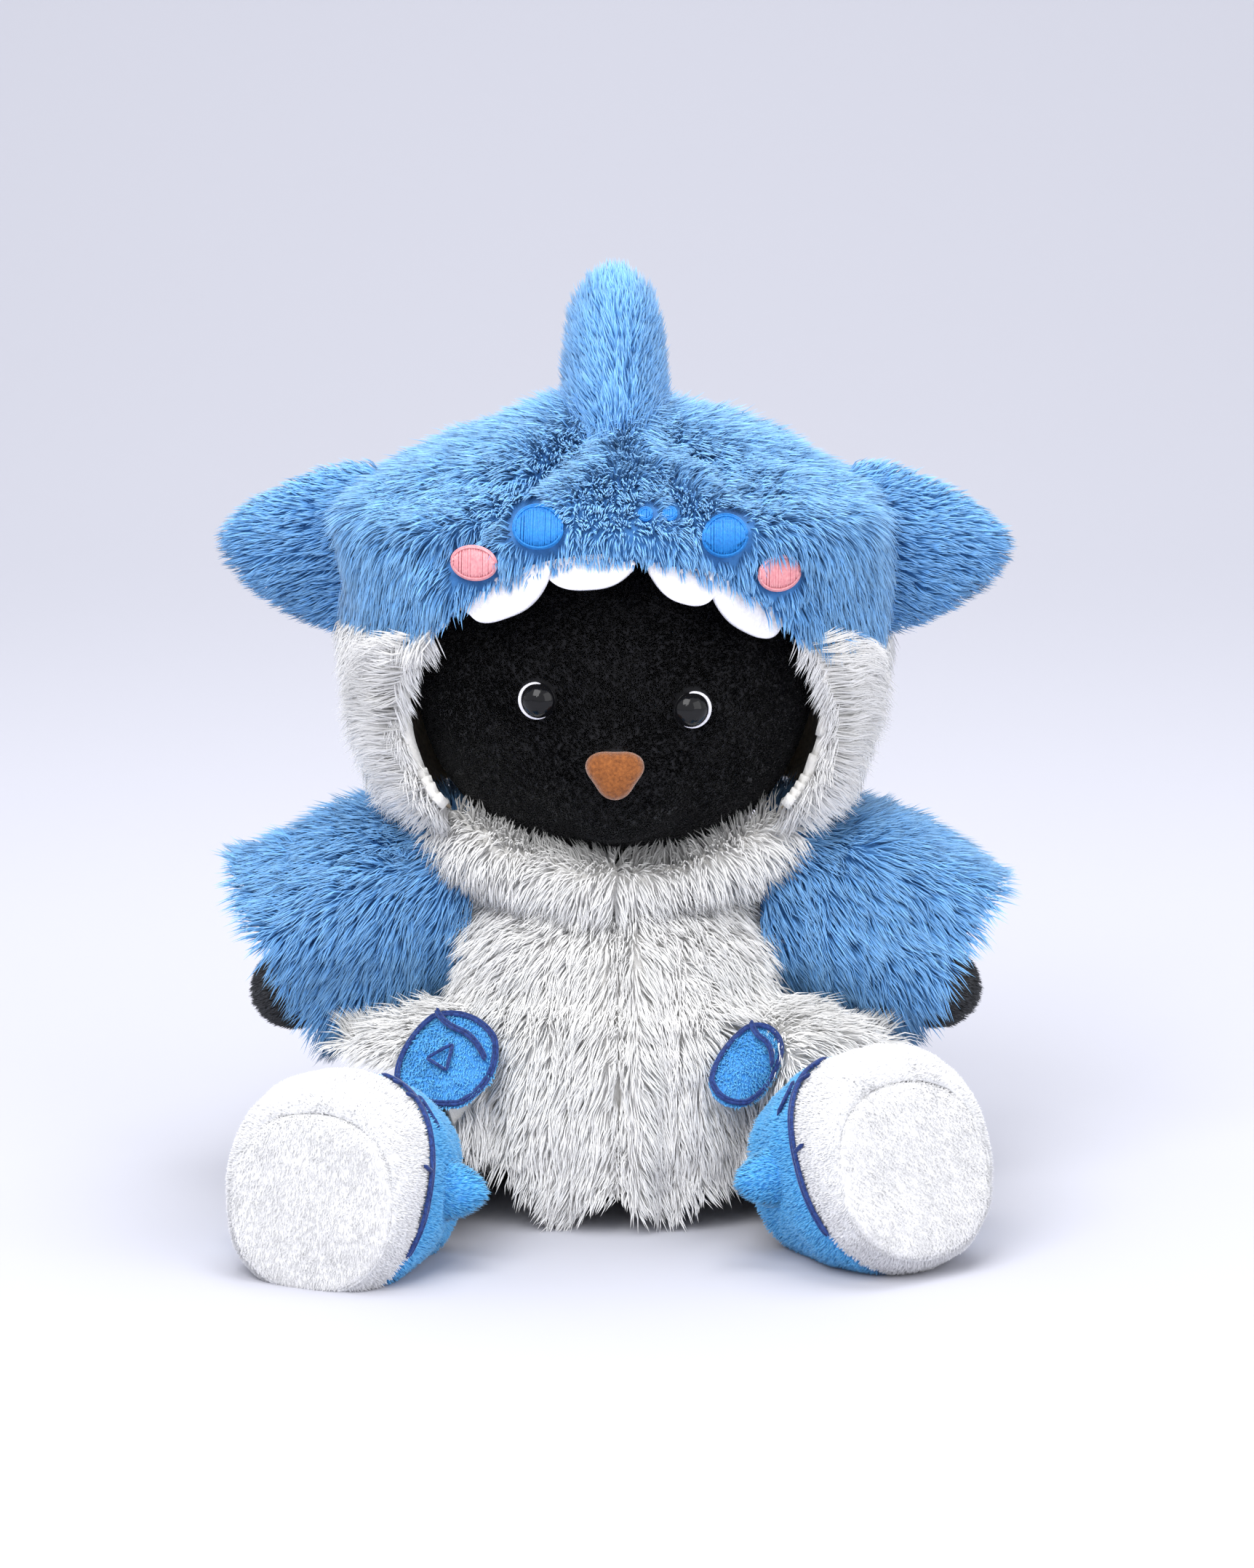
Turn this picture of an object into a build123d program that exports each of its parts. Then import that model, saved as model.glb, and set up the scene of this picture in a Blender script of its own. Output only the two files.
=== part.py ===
from build123d import *
import math
import os

# Plush bear in a hooded shark costume, seated.  Millimetres, +Z up, the front looks along -Y.
# The origin is the middle of the flat seat on the floor.  "left" is the bear's own left, +X.

# ---- overall sizes ---------------------------------------------------------
head_size = 138.0           # diameter of the bare head
torso_width = 70.0          # between the flat hip and shoulder faces
torso_height = 125.0        # floor to neck joint
torso_radius = 46.0         # fullest part of the belly
skin = 2.0                  # plush fabric of the bear
hood_wall = 6.0
hood_room = 25.0            # from the head to the outside of the hood, at its widest
lining_wall = 1.2
sleeve_wall = 5.0
sleeve_cuff_radius = 34.0
arm_radius = 17.0
hand_radius = 13.0
thigh_radius = 24.0
shin_radius = 18.8
foot_radius = 25.5
shoe_length = 51.5          # sole to opening
eye_diameter = 12.0
run_gap = 0.15              # half the gap between two faces that turn on each other
post_diameter = 6.0
post_gap = 0.08             # radial, washer and clip on the post

# ---- positions that follow from the sizes ----------------------------------
hood_width = head_size + 2 * hood_room
hs = head_size / 138.0      # everything sewn to the head or hood keeps its place on it
grow = foot_radius - 25.5   # a bigger foot lifts and moves the feet away from the coat
thick = thigh_radius - 24.0
side_x = torso_width / 2
head_c = Vector(0, -6, torso_height - 3 + head_size / 2)
neck = Vector(0, -4, torso_height)
shoulder_z = torso_height - 19
hip = Vector(0, -5, 30)
face_front = head_c.Y - head_size / 2
sleeve_x = side_x + 15      # inner end of the sleeves
open_c = head_c.Z - 11 * hs    # middle of the face opening
open_a, open_b = head_size * 0.52, head_size * 0.41
split_z = head_c.Z + 21 * hs    # blue above, white below

sides = {"left": 1, "right": -1}
foot_at = {"left": Vector(83 + 1.2 * grow, -106 - 1.2 * grow, 41 + 1.16 * grow),
           "right": Vector(-87 - 1.2 * grow, -115 - 1.2 * grow, 37 + 1.16 * grow)}
foot_pitch = {"left": 18, "right": 12}
foot_yaw = {"left": 32, "right": 23}
pocket_span = {"left": (21, 41), "right": (27, 49)}   # degrees from the front
disc_radius = {"neck": 13.0, "shoulder": 11.0, "hip": 15.0}


# ---- helpers ---------------------------------------------------------------
def outline(points):
    """Face in the XZ plane from (r, z) points joined by straight lines."""
    return make_face(Plane.XZ * Polyline(*points, close=True))


def spun(points, start=0.0, span=360.0):
    """Solid of revolution about Z; angles run from the front (-Y) towards +X."""
    return Rot(0, 0, start - 90) * revolve(outline(points), Axis.Z, span)


def smooth_spun(side, low, high, span=360.0):
    """Revolve a curved side given by (r, z) points, closed to the axis at both ends."""
    pts = [(r, z) for r, z in side]
    wire = Curve() + [Spline(*pts), Line(pts[-1], (0, high)), Line((0, high), (0, low)),
                      Line((0, low), pts[0])]
    return revolve(make_face(Plane.XZ * wire), Axis.Z, span)


def slab(x0, x1, y0, y1, z0, z1):
    return Pos((x0 + x1) / 2, (y0 + y1) / 2, (z0 + z1) / 2) * Box(x1 - x0, y1 - y0, z1 - z0)


def both_sides(x0, x1, y0, y1, z0, z1):
    return slab(x0, x1, y0, y1, z0, z1) + slab(-x1, -x0, y0, y1, z0, z1)


def frame_at(origin, axis):
    """Plane with its Z along axis and its Y as near to up as it can be."""
    axis = Vector(*axis).normalized()
    lateral = Vector(0, 0, 1).cross(axis)
    if lateral.length < 0.01:
        lateral = Vector(1, 0, 0)
    return Plane(origin=origin, x_dir=lateral, z_dir=axis)


def capsule(p, q, r1, r2):
    """Round-ended limb from p to q, with radius r1 at p and r2 at q."""
    p, q = Vector(*p), Vector(*q)
    length = (q - p).length
    s = (r1 - r2) / length
    c = math.sqrt(1 - s * s)
    m = math.radians(45)
    wire = Curve() + [
        ThreePointArc((0, -r1), (r1 * math.cos(m), -r1 * math.sin(m)), (r1 * c, r1 * s)),
        Line((r1 * c, r1 * s), (r2 * c, length + r2 * s)),
        ThreePointArc((r2 * c, length + r2 * s), (r2 * math.cos(m), length + r2 * math.sin(m)),
                      (0, length + r2)),
        Line((0, length + r2), (0, -r1))]
    return frame_at(p, q - p) * revolve(make_face(Plane.XZ * wire), Axis.Z)


def level(z, y=0.0):
    return Plane(origin=(0, y, z))


# ---- disc joints -----------------------------------------------------------
def joint_parts(kind):
    """Disc with grooved post, washer and spring clip; Z points from torso to limb."""
    r = disc_radius[kind]
    post = post_diameter / 2
    inner = run_gap + skin
    disc = Pos(0, 0, inner + 1.5) * Cylinder(r, 3)
    stem = Pos(0, 0, (inner + 1 - 9) / 2) * Cylinder(post, inner + 1 + 9)
    groove = Pos(0, 0, -inner - 3.2) * (Cylinder(post + 1, 2.3) - Cylinder(post - 0.8, 2.3))
    washer = Pos(0, 0, -inner - 1) * (Cylinder(r, 2) - Cylinder(post + post_gap, 2))
    clip = Cylinder(post + 3, 2) - Cylinder(post - 0.8 + post_gap, 2)
    clip -= Pos(post + 2, 0, 0) * Box(2 * post + 4, 3.6, 2)
    clip = Pos(0, 0, -inner - 3.2) * clip
    return disc + stem - groove, washer, clip


def torso_room(kind):
    r = disc_radius[kind] + 0.3
    depth = 11
    return Pos(0, 0, -run_gap - skin - depth / 2) * Cylinder(r, depth)


def limb_room(kind):
    return Pos(0, 0, run_gap + skin + 1.6) * Cylinder(disc_radius[kind] + 0.3, 3.2)


def post_hole():
    return Cylinder(post_diameter / 2 + 0.1, 30)


joint_at = {("neck", ""): Plane(origin=neck, x_dir=(1, 0, 0), z_dir=(0, 0, 1))}
for name, s in sides.items():
    joint_at[("shoulder", name)] = Plane(origin=(s * side_x, 0, shoulder_z),
                                         x_dir=(0, 1, 0), z_dir=(s, 0, 0))
    joint_at[("hip", name)] = Plane(origin=(s * side_x, hip.Y, hip.Z),
                                    x_dir=(0, 1, 0), z_dir=(s, 0, 0))

parts = {}
washers, clips = [], []
for (kind, name), plane in joint_at.items():
    disc, washer, clip = joint_parts(kind)
    parts[f"{kind}_disc" + (f"_{name}" if name else "")] = plane * disc
    washers.append(plane * washer)
    clips.append(plane * clip)


# ---- torso -----------------------------------------------------------------
def torso_body(inset):
    r, h = torso_radius, torso_height - run_gap
    side = [(r * 0.83, 0), (r * 0.965, h * 0.11), (r, h * 0.27), (r * 0.92, h * 0.56),
            (r * 0.88, h * 0.8), (r * 0.79, h * 0.94), (r * 0.6, h)]
    low, high = inset, h - inset
    pts = [(x - inset, min(max(z, low), high)) for x, z in side]
    body = smooth_spun(pts, low, high)
    return body & slab(-side_x + run_gap + inset, side_x - run_gap - inset, -90, 90, -1, h + 1)


torso_skin = torso_body(0) - torso_body(skin)
torso_fill = torso_body(skin)
for (kind, name), plane in joint_at.items():
    torso_skin -= plane * post_hole()
    torso_fill -= plane * torso_room(kind)
parts["torso_skin"] = torso_skin
parts["torso_stuffing"] = torso_fill
parts["joint_washers"] = Compound(children=washers)
parts["joint_clips"] = Compound(children=clips)


# ---- head ------------------------------------------------------------------
def head_body(inset):
    ball = Pos(*head_c) * Sphere(head_size / 2 - inset)
    muzzle = Pos(0, face_front + 20 * hs, head_c.Z - 27 * hs) * Sphere(24 * hs - inset)
    floor = neck.Z + run_gap + inset
    return (ball + muzzle) & slab(-140, 140, -160, 160, floor, head_c.Z + head_size)


def face_point(x, z):
    """Point of the bare head and its outward normal, on the front."""
    r = head_size / 2
    y = -math.sqrt(r * r - x * x - (z - head_c.Z) ** 2)
    return Vector(x, head_c.Y + y, z), Vector(x, y, z - head_c.Z)


head_skin = head_body(0) - head_body(skin)
head_fill = head_body(skin) - joint_at[("neck", "")] * limb_room("neck")
head_skin -= joint_at[("neck", "")] * post_hole()

eye_r = eye_diameter / 2
eye_high = eye_r * 0.73
eye_ball = (eye_r ** 2 + eye_high ** 2) / (2 * eye_high)
shank = Pos(0, 0, -4) * Cylinder(1.7, 10)
face_washer = Pos(0, 0, -skin - 1.6) * (Cylinder(5.5, 1.2) - Cylinder(1.72, 1.2))
rings, pins = [], []
for name, s in sides.items():
    point, normal = face_point(s * 25 * hs, head_c.Z - (4 + s * 1.5) * hs)
    seat = frame_at(point, normal)
    dome = (Pos(0, 0, eye_high - eye_ball) * Sphere(eye_ball)) & Pos(0, 0, 5) * Box(20, 20, 10)
    parts[f"eye_{name}"] = seat * (Pos(0, 0, 1) * dome + shank)
    rings.append(seat * Pos(0, 0, 0.55) * (Cylinder(eye_r + 1.3, 0.9) - Cylinder(1.75, 0.9)))
    pins.append(seat)
nose_z = head_c.Z - 26 * hs
nose_seat = Plane(origin=(0, face_front - 4 * hs, nose_z), x_dir=(1, 0, 0), z_dir=(0, -1, 0))
tri = make_face(Polyline((-9.5, 6.5), (9.5, 6.5), (0, -9.5), close=True))
tri = fillet(tri.vertices(), 3.6)
nose = extrude(tri, 6)
nose = fillet(nose.faces().sort_by(Axis.Z)[-1].edges(), 2.2)
nose = nose_seat * (Pos(0, 0, -1.2) * nose + shank)
parts["nose"] = nose - head_body(0).solid()
nose_pin = nose_seat * Pos(0, 0, -4) * Cylinder(1.7, 10)
parts["nose"] = parts["nose"] + (nose_pin & head_body(0))
pins.append(nose_seat)
for seat in pins:
    head_skin -= seat * Pos(0, 0, -4) * Cylinder(1.75, 12)
    head_fill -= seat * Pos(0, 0, -5.5) * Cylinder(6, 9)
parts["eye_rings"] = Compound(children=rings)
parts["face_washers"] = Compound(children=[seat * face_washer for seat in pins])
parts["head_skin"] = head_skin
parts["head_stuffing"] = head_fill

# ---- hood ------------------------------------------------------------------
hood_levels = [(-63, 0.60), (-40, 0.85), (-10, 0.947), (20, 1.0), (46, 0.98), (58, 0.92),
               (74, 0.64), (86, 0.32), (90, 0.0)]


def hood_body(inset):
    """Tent-shaped hood, shrunk by inset on every side; below it is cut off level."""
    rows = [(max(hood_width / 2 * k - inset, 0), head_c.Z + dz * hs - (inset if dz > 50 else 0))
            for dz, k in hood_levels]
    return spun([(0, rows[0][1])] + rows)


def across(shape2d, y0, y1):
    """Extrude a shape drawn in XZ from y0 back to y1."""
    plane = Plane(origin=(0, y1, 0), x_dir=(1, 0, 0), z_dir=(0, -1, 0))
    return extrude(plane * shape2d, y1 - y0)


def opening(more=0.0):
    return across(Pos(0, open_c) * Ellipse(open_a + more, open_b + more), -160, head_c.Y - 12)


outer, inner, lined = hood_body(0), hood_body(hood_wall), hood_body(hood_wall + lining_wall)
# over each shoulder the hood stops above the sleeve, wide enough to turn past it
side_cut = [(20, 90), (hood_width, 90), (hood_width, shoulder_z + sleeve_cuff_radius + 6),
            (20, shoulder_z + sleeve_cuff_radius + 6)]
over_sleeve = spun(side_cut, 28, 124) + spun(side_cut, 208, 124)
trim_off = opening() + over_sleeve
shell = outer - inner - trim_off
parts["hood_top"] = shell & slab(-150, 150, -150, 150, split_z, 400)
parts["hood_border"] = shell & slab(-150, 150, -150, 150, 0, split_z)
parts["hood_lining"] = inner - lined - trim_off

# dorsal fin and side fins, sewn to the outside of the hood
hood_top_z = head_c.Z + 88 * hs
dorsal = loft([level(hood_top_z - 30 * hs, 4) * Ellipse(15 * hs, 36 * hs),
               level(hood_top_z, 6) * Ellipse(15 * hs, 29 * hs),
               level(hood_top_z + 27 * hs, 11) * Ellipse(13 * hs, 21 * hs),
               level(hood_top_z + 41 * hs, 14) * Ellipse(8 * hs, 12 * hs)])
parts["fin_dorsal"] = dorsal - outer
fin_rows = [(0.74, 12, 28, 42), (0.98, 11, 24, 42), (1.2, 9, 16, 43), (1.4, 4, 6, 47)]
fin = loft([Plane(origin=(hood_width / 2 * k, 0, head_c.Z + dz * hs), x_dir=(0, 1, 0),
                  z_dir=(1, 0, 0)) * Ellipse(a * hs, b * hs) for k, a, b, dz in fin_rows])
parts["fin_left"] = fin - outer
parts["fin_right"] = mirror(parts["fin_left"], Plane.YZ)

# felt teeth along the upper edge of the face opening
felt_out, felt_in = hood_body(2.0), hood_body(3.6)
felt = (felt_out - felt_in) & opening(-0.1)


def edge_z(x):
    return open_c + open_b * math.sqrt(1 - (x / open_a) ** 2)


teeth = {"right": [(-35.5, 13.4, 11.5), (-8.5, 14.4, 9)],
         "left": [(23.0, 11.2, 11), (43.5, 12.2, 12.5)]}
for name, rows in teeth.items():
    rows = [(x * hs, a * hs, b * hs) for x, a, b in rows]
    lobes = [across(Pos(x, edge_z(x)) * Ellipse(a, b), -160, -20) for x, a, b in rows]
    x0, x1 = rows[0][0] - rows[0][1] + 2, rows[-1][0] + rows[-1][1] - 2
    band = (opening(0) - opening(-2.2)) & slab(x0, x1, -160, -20, open_c, 400)
    shape = lobes[0] + lobes[1] + band
    parts[f"teeth_{name}"] = felt & shape

# embroidered face of the shark, thin patches that follow the hood
patch_out = hood_body(-1.2)


def patch(x, dz, a, b):
    prism = across(Pos(x * hs, head_c.Z + dz * hs) * Ellipse(a * hs, b * hs), -160, -20)
    return (patch_out & prism) - outer


parts["shark_eye_right"] = patch(-25, 56, 7.6, 5.8)
parts["shark_eye_left"] = patch(36, 53, 6.8, 5.8)
parts["cheek_right"] = patch(-46, 44, 7, 5)
parts["cheek_left"] = patch(54, 40, 6.5, 5.2)
parts["nostrils"] = Compound(children=[patch(x, 60, 1.6, 1.3) for x in (10, 18)])


# ---- arms and sleeves ------------------------------------------------------
def mirrored(shape, s):
    return shape if s > 0 else mirror(shape, Plane.YZ)


def arm_body(inset):
    root, hand = (side_x + 10, 0, shoulder_z), (side_x + 77, -3, shoulder_z - 29)
    body = capsule(root, hand, arm_radius - inset, hand_radius - inset)
    return body & slab(side_x + run_gap + inset, 200, -60, 60, 0, 250)


def sleeve_body(inset):
    rows = [(sleeve_x, shoulder_z + 3, 0, sleeve_cuff_radius - 3),
            (sleeve_x + 30, shoulder_z - 2, 16, sleeve_cuff_radius + 0.5),
            (sleeve_x + 63, shoulder_z - 18, 32, sleeve_cuff_radius)]
    faces = []
    for x, z, tilt, r in rows:
        t = math.radians(tilt)
        plane = Plane(origin=(x, 0, z), x_dir=(0, 1, 0), z_dir=(math.cos(t), 0, -math.sin(t)))
        faces.append(plane * Circle(r - inset))
    return loft(faces)


arm_skin = arm_body(0) - arm_body(skin)
sleeve = sleeve_body(0) - sleeve_body(sleeve_wall)
for name, s in sides.items():
    plane = joint_at[("shoulder", name)]
    parts[f"arm_skin_{name}"] = mirrored(arm_skin, s) - plane * post_hole()
    parts[f"arm_stuffing_{name}"] = mirrored(arm_body(skin), s) - plane * limb_room("shoulder")
    parts[f"sleeve_{name}"] = mirrored(sleeve, s)


# ---- legs ------------------------------------------------------------------
def foot_axis(name):
    yaw, pitch = math.radians(foot_yaw[name]), math.radians(foot_pitch[name])
    return Vector(sides[name] * math.sin(yaw) * math.cos(pitch),
                  -math.cos(yaw) * math.cos(pitch), math.sin(pitch))


def foot_body(inset):
    r = foot_radius
    side = [(r * 0.66, -24), (r * 0.96, -10), (r, 2), (r * 0.9, 11.5), (r * 0.56, 16)]
    low, high = -24 + inset, 16 - inset
    return smooth_spun([(x - inset, min(max(z, low), high)) for x, z in side], low, high)


def leg_body(name, inset):
    s, at, axis = sides[name], foot_at[name], foot_axis(name)
    start = Vector(s * (side_x + 15), hip.Y, hip.Z)
    shin = capsule(start, at - axis * 14, thigh_radius - inset, shin_radius - inset)
    body = shin + frame_at(at, axis) * foot_body(inset)
    x0 = side_x + run_gap + inset
    return body & (slab(x0, 200, -220, 80, -60, 160) if s > 0
                   else slab(-200, -x0, -220, 80, -60, 160))


# ---- shoes, drawn with Z along the foot and Y up ---------------------------
back, front = -26.0, shoe_length - 29.5
seam = 4.0
shoe_rows = [(back, 28, 29.5), (-10, 30, 33), (8, 31.5, 36.5), (front, 30.5, 35.5)]


def shoe_body(more=0.0):
    scale_r = foot_radius / 25.5
    return loft([Plane(origin=(0, 0, z)) * Ellipse(a * scale_r + more, b * scale_r + more)
                 for z, a, b in shoe_rows])


bore = Pos(0, 0, (back + front) / 2) * Cylinder(foot_radius + 0.5, front - back)
shoe_wall = shoe_body() - bore
shoe_upper = shoe_wall & slab(-60, 60, -60, 60, back - 1, seam)
shoe_jaw = shoe_wall & slab(-60, 60, -60, 60, seam, front + 1)
k = foot_radius / 25.5
shoe_sole = loft([Plane(origin=(0, 0, front)) * Ellipse(30.5 * k, 35.5 * k),
                  Plane(origin=(0, 0, front + 3.5)) * Ellipse(27.5 * k, 32 * k)])
mouth = (shoe_body(1.3) - shoe_body()) & slab(-60, 60, -60, 60, seam - 1.2, seam + 1.2)
shoe_fin = loft([Plane(origin=(x * k, 0, z), x_dir=(0, 1, 0), z_dir=(1, 0, 0)) * Ellipse(a, b)
                 for x, z, a, b in ((24, -9, 5, 11), (35, -11, 4.5, 8), (45, -15, 2, 3))])
shoe_fin = shoe_fin - shoe_body(0)
for name, s in sides.items():
    plane = joint_at[("hip", name)]
    leg_out, leg_in = leg_body(name, 0), leg_body(name, skin)
    parts[f"leg_skin_{name}"] = leg_out - leg_in - plane * post_hole()
    parts[f"leg_stuffing_{name}"] = leg_in - plane * limb_room("hip")
    at = frame_at(foot_at[name], foot_axis(name))
    inner_half = slab(-60, 0, -12, 60, -60, 60) if s > 0 else slab(0, 60, -12, 60, -60, 60)
    parts[f"shoe_upper_{name}"] = at * shoe_upper
    parts[f"shoe_jaw_{name}"] = at * shoe_jaw
    parts[f"shoe_sole_{name}"] = at * shoe_sole
    parts[f"shoe_trim_{name}"] = at * (mouth & inner_half)
    parts[f"shoe_fins_{name}"] = Compound(children=[at * shoe_fin,
                                                    at * mirror(shoe_fin, Plane.YZ)])

# ---- coat ------------------------------------------------------------------
front_span = 72.0           # degrees of each front panel
n = torso_height
upper_out = [(30, n + 0.4), (40, n - 3), (47, n - 13), (50.5, n - 27), (52, 80)]
upper_in = [(30, n - 0.4), (38.5, n - 5.5), (43, n - 15), (46.2, n - 27), (46.8, 80)]
chest_out = [(30, n + 0.4), (40, n - 3), (50, n - 13), (60, n - 27), (66, 85 + thick)]
chest_in = [(30, n - 0.4), (38.5, n - 5.5), (46, n - 15), (55.5, n - 28.5), (60.5, 83 + thick)]
lap_out = chest_out + [(70, 80.5 + thick), (82, 76 + thick), (92, 70.5 + thick), (97, 64.5 + thick)]
lap_in = chest_in + [(66, 76.5 + thick), (78, 71.5 + thick), (88, 66 + thick), (92.5, 60 + thick)]
skirt_out = upper_out + [(62, 62), (78, 38), (92, 1.5)]
skirt_in = upper_in + [(56.5, 60), (72.5, 36), (86.5, 1.5)]
drop_out = [(70, 80 + thick), (77.5, 58), (81, 30), (82.5, 2)]
drop_in = [(65, 76 + thick), (71.5, 54), (75, 28), (76.5, 2)]
drop_half = side_x - 1


def ring(out_pts, in_pts):
    return out_pts + in_pts[::-1]


arm_hole = Rot(0, 90, 0) * Cylinder(arm_radius + 4, 2 * sleeve_x + 20)
arm_hole = Pos(0, 0, shoulder_z) * (arm_hole - Box(2 * side_x - 2, 99, 99))
reach = sleeve_cuff_radius + 3.5
sleeve_room = both_sides(sleeve_x - 0.5, 130, -reach, 90, shoulder_z - 40, 250)
leg_room = both_sides(side_x - 0.2, 130, -140, 20.5, -5, hip.Z + thigh_radius + 1.3)
hem = make_face(Polyline((-60, 20), (-30, 16), (-17, 3), (-4, 14), (3, 12), (20, 6),
                         (32, 18), (60, 22), (60, -20), (-60, -20), close=True))
hem_cut = across(hem, -140, -20)

for name, s in sides.items():
    start = 0 if s > 0 else -front_span
    panel = spun(ring(lap_out, lap_in), start, front_span)
    drop = spun(ring(drop_out, drop_in), start, front_span)
    x0, x1 = (0, drop_half) if s > 0 else (-drop_half, 0)
    panel += drop & slab(x0, x1, -120, 0, 0, 80)
    parts[f"coat_front_{name}"] = panel - arm_hole - sleeve_room - leg_room - hem_cut
coat_back = spun(ring(skirt_out, skirt_in), front_span, 360 - 2 * front_span)
parts["coat_back"] = coat_back - arm_hole - sleeve_room - leg_room

# closure under the front edge: an underlap on the left panel, and two strips
(r1, z1), (r0, z0) = chest_in[3:5]


def strip(near, far, start, span):
    """Band along the inside of the chest, between two distances from it."""
    return spun([(r0 + near, z0), (r0 + far, z0), (r1 + far, z1), (r1 + near, z1)], start, span)


parts["coat_front_left"] += strip(-3.9, -2.6, -14, 18) + strip(-3.9, 1, 1, 3)
parts["closure_hook"] = strip(-2.6, -1.4, -13, 12)
parts["closure_loop"] = strip(-1.4, 0.3, -13, 12) - parts["coat_front_right"]

# white ruff under the chin
ruff = revolve(Plane.XZ * Pos(43, n - 6) * Circle(7), Axis.Z, 100)
ruff = Rot(0, 0, -50 - 90) * ruff
parts["collar_ruff"] = (ruff - parts["coat_front_left"] - parts["coat_front_right"]
                        - torso_body(0) - spun(ring(lap_out, [(0, n + 0.4), (0, 55), (97, 55)]),
                                               -60, 120))



def on_lap(r):
    """Point of the coat's outer surface on the lap, at radius r."""
    for (ra, za), (rb, zb) in zip(lap_out, lap_out[1:]):
        if ra <= r <= rb:
            return r, za + (zb - za) * (r - ra) / (rb - ra)


# pockets on the lap, with a dark bound edge
for name, s in sides.items():
    a0, a1 = pocket_span[name]
    start = a0 if s > 0 else -a1
    span = a1 - a0
    seat_line = [on_lap(72), on_lap(82), on_lap(92), on_lap(95.5)]
    face_line = [(r + 0.9, z + 1.5) for r, z in seat_line]
    parts[f"pocket_{name}"] = spun(ring(face_line, seat_line), start, span)
    top_line = [face_line[0], tuple((a + b) / 2 for a, b in zip(face_line[0], face_line[1]))]
    parts[f"pocket_trim_{name}"] = spun(ring([(r + 0.4, z + 1.2) for r, z in top_line], top_line),
                                        start, span)

# ---- export ----------------------------------------------------------------
os.makedirs("parts", exist_ok=True)
for name, shape in parts.items():
    export_step(shape, f"parts/{name}.step")
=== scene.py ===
import math

import bpy
import numpy as np
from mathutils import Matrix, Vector


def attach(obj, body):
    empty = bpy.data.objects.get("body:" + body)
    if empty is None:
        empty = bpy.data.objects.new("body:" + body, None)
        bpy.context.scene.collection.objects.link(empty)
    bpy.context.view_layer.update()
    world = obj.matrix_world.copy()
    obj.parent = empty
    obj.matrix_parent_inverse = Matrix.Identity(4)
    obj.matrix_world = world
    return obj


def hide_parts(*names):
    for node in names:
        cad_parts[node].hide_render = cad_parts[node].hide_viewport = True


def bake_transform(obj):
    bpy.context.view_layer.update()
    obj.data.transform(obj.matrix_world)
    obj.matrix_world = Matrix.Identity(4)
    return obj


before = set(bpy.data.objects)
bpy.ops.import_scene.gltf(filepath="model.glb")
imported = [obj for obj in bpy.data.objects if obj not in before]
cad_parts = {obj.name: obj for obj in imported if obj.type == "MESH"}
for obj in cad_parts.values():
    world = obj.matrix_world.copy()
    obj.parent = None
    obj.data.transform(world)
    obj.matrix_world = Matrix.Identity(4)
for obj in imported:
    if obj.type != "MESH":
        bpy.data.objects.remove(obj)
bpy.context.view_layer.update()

MM = 0.001
UP = np.array([0.0, 0.0, 1.0])

# ---- sizes shared with the frame, in millimetres --------------------
HEAD_C, HEAD_R = np.array([0.0, -6.0, 191.0]), 69.0
OPEN_Z, OPEN_A, OPEN_B = 180.0, 71.8, 56.6
SPLIT_Z = 212.0
SHOULDER_Z, SIDE_X = 106.0, 35.0
SIDES = {"left": 1.0, "right": -1.0}
FOOT_AT = {"left": np.array([83.0, -106.0, 41.0]), "right": np.array([-87.0, -115.0, 37.0])}
FOOT_PITCH = {"left": 18.0, "right": 12.0}
FOOT_YAW = {"left": 32.0, "right": 23.0}

# where the coat's lap goes over from the torso to each leg, in metres
DRAPE = {f"drape_{side}": ((s * 0.040, -0.052, 0.0), (s * 0.060, -0.062, 0.0))
         for side, s in SIDES.items()}


# ---- numbers --------------------
def hash3(i, seed):
    h = (i[..., 0] * 73856093) ^ (i[..., 1] * 19349663) ^ (i[..., 2] * 83492791) ^ (seed * 9781)
    h = (h ^ (h >> 13)) * 1274126177
    h = (h ^ (h >> 16)) & 0xFFFFFF
    return h / float(0xFFFFFF) * 2 - 1


def noise(p, size, seed=0):
    """Smooth value noise in -1..1 at points p, with features about size apart."""
    q = p / size + 31.7
    i = np.floor(q).astype(np.int64)
    f = q - i
    f = f * f * (3 - 2 * f)
    out = np.zeros(p.shape[:-1])
    for dx in (0, 1):
        for dy in (0, 1):
            for dz in (0, 1):
                w = (np.where(dx, f[..., 0], 1 - f[..., 0]) * np.where(dy, f[..., 1], 1 - f[..., 1])
                     * np.where(dz, f[..., 2], 1 - f[..., 2]))
                out += w * hash3(i + np.array([dx, dy, dz]), seed)
    return out


def noise3(p, size, seed=0):
    return np.stack([noise(p, size, seed + k) for k in (0, 11, 23)], -1)


def unit(v):
    return v / np.maximum(np.linalg.norm(v, axis=-1, keepdims=True), 1e-9)


def step(x, a, b):
    t = np.clip((x - a) / (b - a), 0, 1)
    return t * t * (3 - 2 * t)


def tangent(d, n):
    return d - n * (d * n).sum(-1, keepdims=True)


# ---- surfaces: vertices, quads and vertex normals --------------------
def grid(points, wrap=False):
    """Surface over an array of points (rows, columns, 3); columns may wrap round."""
    nu, nv = points.shape[:2]
    cols = nv if wrap else nv - 1
    i, j = np.meshgrid(np.arange(nu - 1), np.arange(cols), indexing="ij")
    j2 = (j + 1) % nv
    quads = np.stack([i * nv + j, i * nv + j2, (i + 1) * nv + j2, (i + 1) * nv + j], -1)
    return points.reshape(-1, 3), quads.reshape(-1, 4)


def normals(v, f):
    a, b, c, d = (v[f[:, k]] for k in range(4))
    n = np.cross(c - a, d - b)
    out = np.zeros_like(v)
    for k in range(4):
        np.add.at(out, f[:, k], n)
    return unit(out)


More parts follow.
